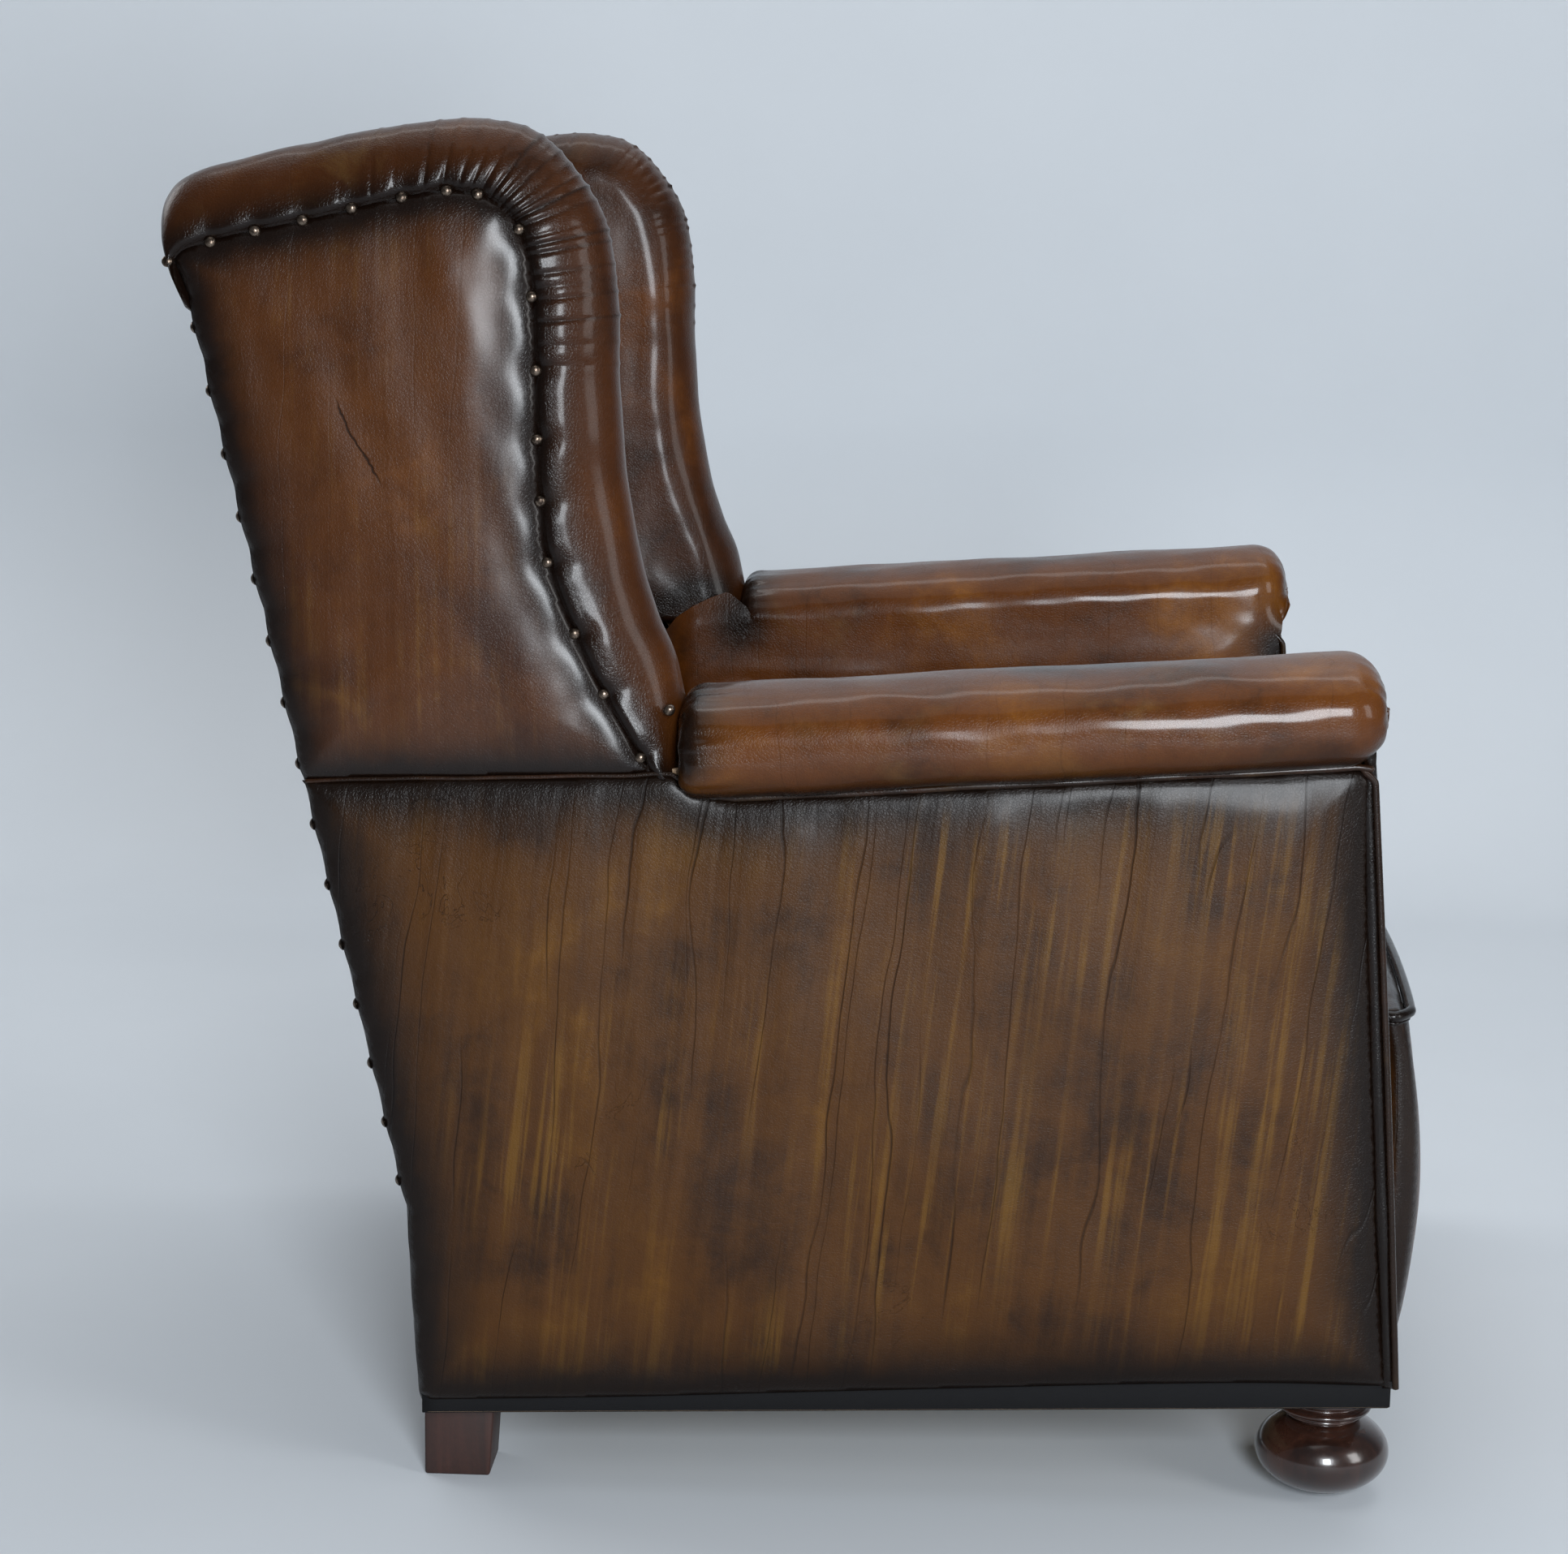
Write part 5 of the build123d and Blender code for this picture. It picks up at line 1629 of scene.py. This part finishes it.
@dataclass
class Seat:
    """Sprung seat: the top, the bulging front border and the fat piping between them."""

    leather: bpy.types.Material
    dark: bpy.types.Material
    half: float = 288.0
    corner_y: float = -444.8
    rear_y: float = 118.5
    bow: float = 10.0
    edge_z: float = 368.0
    border_top: float = 360.6
    border_low: float = 96.0
    cord_z: float = 364.8

    def top_height(self, x: np.ndarray, y: np.ndarray) -> np.ndarray:
        """Height of the seat's top, before its sides turn down.

        Args:
            x: Places across.
            y: Places along.

        Returns:
            Heights.
        """
        crown = 1 - (x / self.half) ** 2
        front = self.corner_y - self.bow * crown
        share = np.clip((y - front) / (self.rear_y - front), 0, 1)
        front_z = self.edge_z + 8 * crown
        rear_z = 375 + 8 * crown
        rise = 381 + 18 * crown - (front_z + rear_z) / 2
        return front_z + (rear_z - front_z) * share + rise * 4 * share * (1 - share)

    def build(self) -> None:
        """Make the top, the border and the piping."""
        self.top()
        self.border()
        self.piping()

    def edge(self, x: np.ndarray) -> np.ndarray:
        """Y of the seat's front edge across its width."""
        return self.corner_y - self.bow * (1 - (x / self.half) ** 2)

    def top(self) -> None:
        """Seat top."""
        x = np.linspace(-self.half, self.half, 260)
        front = np.column_stack([x, self.edge(x) + 1.0])
        sides = evenly(np.array([(self.half, self.corner_y + 4), (self.half, self.rear_y)]), 230)
        rear = np.column_stack([x[::-1], np.full(len(x), self.rear_y)])
        loop = np.vstack([front, sides[1:-1], rear, (sides[1:-1] * (-1, 1))[::-1]])
        loop = evenly(np.vstack([loop, loop[:1]]), 900, closed=True)

        def place(flat: np.ndarray, near: np.ndarray) -> np.ndarray:
            """Top face, falling into the gaps at the arms and the back.

            Args:
                flat: Points in the cover's own plane.
                near: Their distances to its outline.

            Returns:
                Places in space.
            """
            x, y = flat[:, 0], flat[:, 1]
            lip = y - self.edge(x)
            deep = np.minimum(self.half - np.abs(x), self.rear_y - y)
            z = self.top_height(x, y) - 17 * np.exp(-((deep / 9.0) ** 1.4)) * smooth(lip, 6, 60)
            z = z - 2.5 * np.exp(-((lip / 4.0) ** 2))
            return np.column_stack([x, y, z + 1.2 * smooth(lip, 4, 40) * smooth(deep, 5, 40)])

        def relief(at: np.ndarray) -> np.ndarray:
            """Use has settled the stuffing a little.

            Args:
                at: Places on the cover.

            Returns:
                How far each moves out.
            """
            away = distance(at, rim)
            pulls = ripple(at, (22, 200, 60), 71) * 0.5 * np.exp(-np.abs(at[:, 1] + 440) / 45)
            settled = smooth(away, 0, 40) * ripple(at, (170, 170, 90), 72) * 2.2
            return settled + pulls * smooth(away, 0, 10)

        skin = Skin()
        rim = skin.panel(loop, 6.0, place, lambda line: line - (0, 0, 24), (0, -160, 345))
        # Darkened towards its rim: burnish, and painted shade where it falls into the gaps at the
        # arms and the back
        cover = Cover(self.leather, [rim], 30.0, 0.8, relief)
        cover.make(skin, "seat_cover", "seat_top_leather", "seat_stuffing")

    def bulge(self, x: np.ndarray, z: np.ndarray) -> np.ndarray:
        """Y of the front border's face.

        Args:
            x: Places across.
            z: Heights.

        Returns:
            Places along.
        """
        crown = np.clip(1 - (x / self.half) ** 2, 0, 1)
        down = np.clip((self.border_top - z) / (self.border_top - self.border_low), 0, 1)
        round_down = np.clip(4 * down * (1 - down), 0, 1) ** 0.8
        return self.corner_y - self.bow * crown - 2.2 - (14 + 8 * crown) * round_down

    def border(self) -> None:
        """Front border under the piping."""
        half, low, top = self.half, self.border_low, self.border_top
        corners = [(-half, top), (-half, low + 12), (-half + 12, low), (half - 12, low),
                   (half, low + 12), (half, top)]
        loop = evenly(np.array(corners + corners[:1], float), 900, closed=True)

        def place(flat: np.ndarray, near: np.ndarray) -> np.ndarray:
            """Bulging face, turned back at the ends.

            Args:
                flat: Points in the cover's own plane.
                near: Their distances to its outline.

            Returns:
                Places in space.
            """
            x, z = flat[:, 0], flat[:, 1]
            y = self.bulge(x, z) + 7.0 * np.exp(-(((half - np.abs(x)) / 7.0) ** 1.3))
            return np.column_stack([x, y + 3.0 * np.exp(-(z - low) / 4.0), z])

        def turn(rim: np.ndarray) -> np.ndarray:
            """Edge against the frame."""
            return np.column_stack([rim[:, 0], np.maximum(rim[:, 1] + 14, -432), rim[:, 2]])

        def relief(at: np.ndarray) -> np.ndarray:
            """Upright pulls below the piping.

            Args:
                at: Places on the cover.

            Returns:
                How far each moves out.
            """
            away = distance(at, rim)
            pulls = ripple(at, (26, 300, 200), 81) * 0.5 * np.exp(-np.abs(at[:, 2] - 355) / 50)
            settled = smooth(away, 0, 24) * ripple(at, (130, 300, 110), 82) * 1.3
            return settled + pulls * smooth(away, 0, 8)

        skin = Skin()
        rim = skin.panel(loop, 5.5, place, turn, (0, -425, 230))
        cover = Cover(self.leather, [rim], 28.0, 0.75, relief)
        cover.make(skin, "seat_border_cover", "seat_front_border", "front_border_stuffing")

    def piping(self) -> None:
        """Fat cord along the front edge and back to the facings, with the flange under it."""
        skin = Skin()
        for radius, drop, out in ((4.1, 0.0, 0.0), (1.5, 5.6, 1.2)):
            x = np.linspace(-self.half, self.half, 200)
            crown = 1 - (x / self.half) ** 2
            y = self.edge(x) - 4.0 + out + 5.5 * np.abs(x / self.half) ** 40
            front = np.column_stack([x * 1.012, y, self.cord_z + 8 * crown - drop])
            side = [(self.half + 4.6 - out, y, self.cord_z - drop)
                    for y in (-438, -430, -424, -418)]
            left = [(-p[0], p[1], p[2]) for p in side][::-1]
            line = spline(np.vstack([left, front[4:-4:4], side]), 420)
            skin.tube(line, radius)
        piece = skin.piece("seat_piping_cord").stain(0.85)
        piece.finish(self.dark, "brown_leather", "seat_piping")


# Inside back


@dataclass
class InsideBack:
    """Sprung inside back, in one hide from the seat over the crest."""

    leather: bpy.types.Material
    half: float = 298.5
    low_z: float = 330.0
    columns: int = 150
    rows: int = 230

    def profile(self, crown: float) -> np.ndarray:
        """Side outline from the seat up and over the crest.

        Args:
            crown: 1 in the middle, 0 at the wings.

        Returns:
            Evenly spaced points.
        """
        foot = (119.8 + 13.5 * (1 - crown), 404.0)
        crest = (379.0 - 8.0 * crown, 953.0)
        back, up = crest[0] - foot[0], crest[1] - foot[1]
        run = math.hypot(back, up)
        bulge = 25 + 10 * crown
        spots = [(foot[0] - 1, self.low_z), (foot[0] - 1, 365.0)]
        for share in np.linspace(0, 1, 14):
            out = bulge * (1 - abs(2 * share - 1) ** 2.2)
            spots.append((foot[0] + back * share - out * up / run,
                          foot[1] + up * share + out * back / run))
        spots += [(391, 971), (406, 981), (424, 985), (446, 982), (463, 973), (472, 960),
                  (472, 946), (467, 934), (462, 926)]
        return spline(spots, self.rows)

    def build(self) -> None:
        """Make the inside back."""
        shares = np.sin(np.linspace(-1, 1, self.columns) * math.pi / 2)
        rows = []
        for share in shares:
            crown = 1 - share * share
            line = self.profile(crown)
            forward = headings(line)
            inward = np.column_stack([forward[:, 1], -forward[:, 0]])
            edge = (1 - abs(share)) * self.half
            crest = smooth(line[:, 1], 900, 965)
            turn = 16 * math.exp(-((edge / 9.0) ** 1.3)) * (1 - crest)
            turn = turn + 22 * math.exp(-((edge / 17.0) ** 1.5)) * crest
            line = line + inward * turn[:, None]
            rows.append(np.column_stack([np.full(self.rows, share * self.half), line]))
        net = np.array(rows)
        skin = Skin()
        skin.grid(net)
        skin.cone(border(net), (0, 380, 640))
        seat_line = np.array([(x, 112.0, 392.0) for x in np.linspace(-290, 290, 160)])

        def relief(at: np.ndarray) -> np.ndarray:
            """Settled stuffing, with light pulls over the crest.

            Args:
                at: Places on the cover.

            Returns:
                How far each moves out.
            """
            hold = smooth(self.half - np.abs(at[:, 0]), 0, 40)
            soft = ripple(at, (150, 200, 170), 91) * 2.0 + ripple(at, (46, 90, 60), 92) * 0.3
            crest = np.exp(-(((at[:, 2] - 975) / 30) ** 2))
            return hold * (soft + ripple(at, (30, 200, 120), 93) * 0.6 * crest)

        # Darkened along its sides, the crest's rear edge and the crevice at the seat: burnish,
        # with painted shade in the tucks and the crevice
        cover = Cover(self.leather, [net[-1], seat_line, net[:, -1]], 30.0, 0.8, relief)
        cover.make(skin, "inside_back_cover", "inside_back_leather", "back_stuffing")


# Nails, feet, lining


@dataclass
class WingNails:
    """Domed nails along the wing seams."""

    metal: bpy.types.Material
    radius: float = 4.1
    rise: float = 2.7
    skirt: float = 3.0
    seat_x: float = 381.8
    rear_lift: float = 3.5
    sides: int = 24

    def build(self) -> None:
        """Make the nails of both wings as one piece."""
        skin = Skin()
        angles = np.linspace(0, math.tau, self.sides, endpoint=False)
        draw = np.random.default_rng(5)
        for sign in (1, -1):
            for y, z in (*WING_NAILS, REAR_NAIL):
                lean = draw.normal(size=2) * 0.05
                base = self.seat_x + (self.rear_lift if (y, z) == REAR_NAIL else 0.0)
                rings = []
                for share in np.linspace(0, 1, 8)[:-1]:
                    size = self.radius * math.cos(share * math.pi / 2)
                    out = self.rise * math.sin(share * math.pi / 2)
                    ring_y, ring_z = size * np.cos(angles), size * np.sin(angles)
                    x = base + out + lean[0] * ring_y + lean[1] * ring_z
                    rings.append(np.column_stack([x * sign, y + ring_y, z + ring_z]))
                skirt = rings[0] - (self.skirt * sign, 0, 0)
                skin.grid(np.array([skirt, *rings]), wrap=True)
                skin.cone(rings[-1], ((base + self.rise) * sign, y, z))
                skin.cone(skirt, ((base - self.skirt) * sign, y, z))
        skin.piece("wing_nail_heads").finish(self.metal, "dark_brass", "wing_nails")


@dataclass
class Feet:
    """Turned front feet and tapered rear blocks."""

    turned: bpy.types.Material
    block: bpy.types.Material
    front: Point2 = (326.0, -391.0)
    ball: float = 50.5
    block_x: Point2 = (306.0, 356.0)
    block_front: float = 241.0
    sole_front: float = 245.0
    block_rear: float = 295.0
    worn: float = 2.2

    def build(self) -> None:
        """Make the four feet."""
        self.buns()
        self.blocks()

    def buns(self) -> None:
        """Front feet with a ring collar and a bead."""
        top = float(LINES.low(self.front[1])) - 0.4
        ball = [(self.ball * math.cos(a) ** 0.92, 33 + 30.5 * math.sin(a))
                for a in np.radians(np.linspace(-64, 62, 34))]
        profile = [(0.0, 3.0), (20.0, 3.0), *ball, (29.5, 62.0), (29.0, 64.0), (31.0, 65.5),
                   (34.5, 66.6), (36.0, 68.6), (34.5, 70.6), (31.5, 71.8), (31.0, 73.5),
                   (33.0, 75.4), (36.5, 76.4), (37.4, 78.4), (36.8, 80.6), (35.0, top - 1.5),
                   (34.5, top), (0.0, top)]
        line = np.array(profile, float)
        fine = np.vstack([line[:1], spline(line[1:-2], 150), line[-2:]])
        for side in Side:
            skin = Skin()
            skin.lathe([tuple(p) for p in fine], self.front)
            piece = skin.piece(f"turned_foot_{side.word}", side)
            piece.finish(self.turned, "turned_foot_wood", f"bun_foot_{side.word}")

    def blocks(self) -> None:
        """Square rear feet, tapered to the floor, with worn edges."""
        top = {y: float(LINES.low(y)) - 0.3 for y in (self.block_front, self.block_rear)}
        outline = [(self.sole_front, 0.0), (self.block_rear, 0.0),
                   (self.block_rear, top[self.block_rear]),
                   (self.block_front, top[self.block_front])]
        for side in Side:
            net = bmesh.new()
            near, far = ([net.verts.new((x, y, z)) for y, z in outline] for x in self.block_x)
            net.faces.new(near)
            net.faces.new(far[::-1])
            for i in range(4):
                j = (i + 1) % 4
                net.faces.new([near[i], far[i], far[j], near[j]])
            bmesh.ops.recalc_face_normals(net, faces=net.faces)
            bmesh.ops.bevel(net, geom=list(net.edges), offset=self.worn, segments=4, profile=0.5,
                            affect="EDGES")
            bmesh.ops.triangulate(net, faces=[f for f in net.faces if len(f.verts) > 4])
            net.verts.index_update()
            skin = Skin()
            skin.add(np.array([v.co for v in net.verts]),
                     [[v.index for v in f.verts] for f in net.faces])
            net.free()
            piece = skin.piece(f"block_foot_{side.word}", side)
            piece.finish(self.block, "block_foot_wood", f"rear_foot_{side.word}")


@dataclass
class Underside:
    """Black lining under the frame, turned up over the rails' lower edges."""

    cloth: bpy.types.Material
    thick: float = 0.8
    half: float = 378.1
    front: float = -433.4
    rear: float = 293.0
    fold: float = 26.0

    def build(self) -> None:
        """Make the lining as one closed sheet, folded up at its front and its sides."""
        half, front, rear, fold = self.half, self.front, self.rear, self.fold
        bend, sag = 0.4, -1.3
        across = np.concatenate([[-half] * 3, np.linspace(-half + 2, half - 2, 24), [half] * 3])
        side_rise = np.concatenate([[fold, fold / 2, bend], np.full(24, sag),
                                    [bend, fold / 2, fold]])
        along = np.concatenate([[front] * 3, np.linspace(front + 2, rear, 50)])
        front_rise = np.concatenate([[fold * 0.62, fold * 0.3, bend], np.full(50, sag)])
        layers = []
        for inset in (0.0, self.thick):
            rows = []
            for y, lift in zip(along, front_rise):
                rise = np.maximum(side_rise, lift)
                x = across - np.sign(across) * inset * (rise > 0)
                z = float(LINES.low(y)) + rise + np.where(rise > 0, 0.0, inset)
                inner_y = np.full(len(x), y + inset * (lift > 0))
                rows.append(np.column_stack([x, inner_y, z]))
            layers.append(np.array(rows))
        skin = Skin()
        for layer in layers:
            skin.grid(layer)
        skin.grid(np.array([border(layer) for layer in layers]), wrap=True)
        piece = skin.piece("black_lining_cloth", weld=0.001)
        piece.finish(self.cloth, "black_lining", "dust_lining")
        flat = (2 * (half + fold) * MM, (rear - front + fold) * MM)


# Carried-over solids


@dataclass
class Carcass:
    """Solids that keep their shape and only get a finish."""

    nodes: dict[str, bpy.types.Object]
    beech: bpy.types.Material
    steel: bpy.types.Material
    brass: bpy.types.Material
    jute: bpy.types.Material

    def build(self) -> None:
        """Dress every solid that still shows."""
        finishes = ((("back_nails",), self.brass), (("spring", "glide", "screw"), self.steel),
                    (("webbing", "hessian"), self.jute))
        for name, item in sorted(self.nodes.items()):
            if item.hide_render:
                continue
            material = next((made for words, made in finishes if any(w in name for w in words)),
                            self.beech)
            dress(item, material)
            LOG.info("%s dressed as %s", name, material.name)


# Studio


@dataclass
class Studio:
    """Pale floor and wall, soft light and the camera."""

    eye: Colour = (-2.6623, -0.0870, 0.9790)
    right: Colour = (0.051215, -0.998606, 0.012781)
    up: Colour = (0.181614, 0.021897, 0.983126)
    forward: Colour = (0.982035, 0.048030, -0.182483)
    lens: float = 73.60
    wall_x: float = 2.2
    wall_height: float = 5.0
    sweep: float = 0.6
    reach: float = 9.0

    def build(self) -> None:
        """Make the stage, the lights and the camera."""
        self.stage()
        self.lights()
        self.camera()

    def stage(self) -> None:
        """Floor and a wall behind the chair, joined by a soft curve."""
        shader = Shader("pale_paint")
        tint = shader.noise(2.0, 3.0, 0.5)
        colour = shader.blend((0.60, 0.64, 0.68), (0.66, 0.70, 0.74), tint)
        paint = shader.node(
            "ShaderNodeBsdfPrincipled",
            inputs={"Base Color": colour, "Roughness": 0.75, "Specular IOR Level": 0.2},
        )
        clear = shader.node("ShaderNodeBsdfTransparent")
        facing = shader.node("ShaderNodeNewGeometry", output="Backfacing")
        mixed = shader.node("ShaderNodeMixShader", inputs={0: facing, 1: paint, 2: clear})
        shader.node("ShaderNodeOutputMaterial", inputs={"Surface": mixed})
        bend = [(self.wall_x + self.sweep * (math.sin(a) - 1), self.sweep * (1 - math.cos(a)))
                for a in np.linspace(0, math.pi / 2, 24)]
        line = [(-self.reach, 0.0), *bend, (self.wall_x, self.wall_height)]
        net = bmesh.new()
        rows = [[net.verts.new((x, y, z)) for x, z in line] for y in (-self.reach, self.reach)]
        for i in range(len(line) - 1):
            net.faces.new([rows[0][i], rows[0][i + 1], rows[1][i + 1], rows[1][i]])
        bmesh.ops.recalc_face_normals(net, faces=net.faces)
        net.normal_update()
        net.faces.ensure_lookup_table()
        if net.faces[0].normal.z < 0:
            bmesh.ops.reverse_faces(net, faces=net.faces)
        item = solidify(net, "floor_and_wall")
        dress(item, shader.material)

    def lamp(self, name: str, spot: Colour, aim: Colour, size: Point2, power: float,
             tint: Colour = (1.0, 1.0, 1.0)) -> None:
        """One soft rectangular lamp.

        Args:
            name: Its name.
            spot: Its place in metres.
            aim: The point that it faces.
            size: Its width and height.
            power: Watts.
            tint: Colour of its light.
        """
        light = bpy.data.lights.new(name, "AREA")
        light.shape = "RECTANGLE"
        light.size, light.size_y = size
        light.energy = power
        light.color = tint
        item = linked(bpy.data.objects.new(name, light))
        item.location = spot
        item.rotation_euler = (Vector(aim) - Vector(spot)).to_track_quat("-Z", "Y").to_euler()

    def lights(self) -> None:
        """Lamps and the world's even light."""
        scene = bpy.context.scene
        world = bpy.data.worlds.new("room")
        world.use_nodes = True
        back = world.node_tree.nodes["Background"]
        back.inputs["Color"].default_value = (0.86, 0.92, 1.0, 1.0)
        back.inputs["Strength"].default_value = 0.12
        scene.world = world
        target = (0.0, -0.1, 0.6)
        self.lamp("window_light", (-3.2, -0.55, 1.18), target, (0.62, 1.1), 88, (0.90, 0.95, 1.0))
        self.lamp("front_window_light", (-1.9, -2.7, 1.35), target, (0.9, 1.6), 30)
        self.lamp("ceiling_light", (0.4, -0.2, 3.4), (0.3, 0.0, 0.4), (3.8, 3.8), 40)
        self.lamp("rear_light", (1.4, 3.0, 2.4), target, (1.6, 1.6), 24)
        self.lamp("wall_light", (0.9, 0.0, 3.6), (2.2, 0.0, 0.9), (3.6, 0.6), 26)

    def camera(self) -> None:
        """Camera at the photograph's place."""
        scene = bpy.context.scene
        scene.view_settings.view_transform = "Standard"
        data = bpy.data.cameras.new("camera")
        data.lens = self.lens
        data.sensor_width = 36.0
        item = linked(bpy.data.objects.new("camera", data))
        back = [-value for value in self.forward]
        turn = Matrix([self.right, self.up, back]).transposed().to_4x4()
        item.matrix_world = Matrix.Translation(self.eye) @ turn
        scene.camera = item


# Assembly


class Finishes:
    """Every material of the chair, made once."""

    def __init__(self) -> None:
        """Make them."""
        self.outside_arm = Leather(
            "outside_arm_hide", heart=(0.118, 0.048, 0.004), body=(0.060, 0.0215, 0.0028),
            shade=(0.022, 0.0080, 0.0020), tan=(0.150, 0.072, 0.009), streaks=0.7, cracks=0.75,
            roughness=0.42, coat=0.16, coat_roughness=0.20, turn=(-0.10, 0.0, 0.0),
        ).make()
        self.outside_wing = Leather(
            "outside_wing_hide", heart=(0.125, 0.040, 0.0050), body=(0.061, 0.0185, 0.0032),
            shade=(0.028, 0.0085, 0.0026), tan=(0.15, 0.070, 0.012), streaks=0.3, cracks=0.16,
            roughness=0.38, coat=0.40, coat_roughness=0.21, scar=((0.350, 0.826), (0.313, 0.760)),
        ).make()
        self.arm_roll = Leather(
            "roll_hide", heart=(0.25, 0.088, 0.0060), body=(0.095, 0.0270, 0.0030),
            shade=(0.024, 0.0075, 0.0020), cracks=0.15, roughness=0.35, coat=0.36,
            coat_roughness=0.14,
        ).make()
        self.wing_roll = Leather(
            "wing_hide", heart=(0.13, 0.040, 0.0050), body=(0.046, 0.0135, 0.0028),
            shade=(0.017, 0.0058, 0.0022), cracks=0.12, roughness=0.32, coat=0.20,
            coat_roughness=0.14,
        ).make()
        self.inside = Leather(
            "inside_hide", heart=(0.33, 0.120, 0.0100), body=(0.160, 0.0510, 0.0055),
            shade=(0.056, 0.0180, 0.0040), cracks=0.25, roughness=0.37, coat=0.36,
            coat_roughness=0.15,
        ).make()
        self.trim = Leather(
            "trim_hide", heart=(0.036, 0.014, 0.004), body=(0.020, 0.008, 0.003), cracks=0.1,
            roughness=0.32, coat=0.30, coat_roughness=0.12,
        ).make()
        self.turned = Timber("dark_turned_beech", (0.040, 0.015, 0.009), (0.012, 0.005, 0.0035),
                             0.26, coat=0.7, wear=(0.07, 0.03, 0.018)).make()
        self.block = Timber("red_brown_block", (0.040, 0.012, 0.007), (0.016, 0.005, 0.003), 0.55,
                            coat=0.04, wear=(0.06, 0.022, 0.014)).make()
        self.beech = Timber("bare_beech", (0.62, 0.43, 0.27), (0.44, 0.28, 0.16), 0.6,
                            wear=(0.5, 0.4, 0.3)).make()
        self.brass = Metal("dark_brass_nails", (0.17, 0.13, 0.10), (0.035, 0.024, 0.018),
                           0.27).make()
        self.steel = Metal("plain_steel", (0.52, 0.51, 0.49), (0.30, 0.29, 0.28), 0.36).make()
        self.jute = Cloth("jute_weave", (0.45, 0.33, 0.19), (0.16, 0.11, 0.06), 0.0032).make()
        self.lining = Cloth("black_lining_weave", (0.012, 0.012, 0.013), (0.004, 0.004, 0.004),
                            0.0012).make()


def main() -> None:
    """Build the chair around its solids."""
    logging.basicConfig(level=logging.INFO, format="%(name)s: %(message)s")
    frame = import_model()
    made = Finishes()
    Wings(made.wing_roll).build()
    Arms(made.arm_roll, made.trim).build()
    OutsideCovers(made.outside_arm, made.outside_wing, made.outside_arm).build()
    Seat(made.inside, made.trim).build()
    InsideBack(made.inside).build()
    WingNails(made.brass).build()
    Feet(made.turned, made.block).build()
    Underside(made.lining).build()
    Carcass(frame["nodes"], made.beech, made.steel, made.brass, made.jute).build()
    Studio().build()


if __name__ == "__main__":
    main()
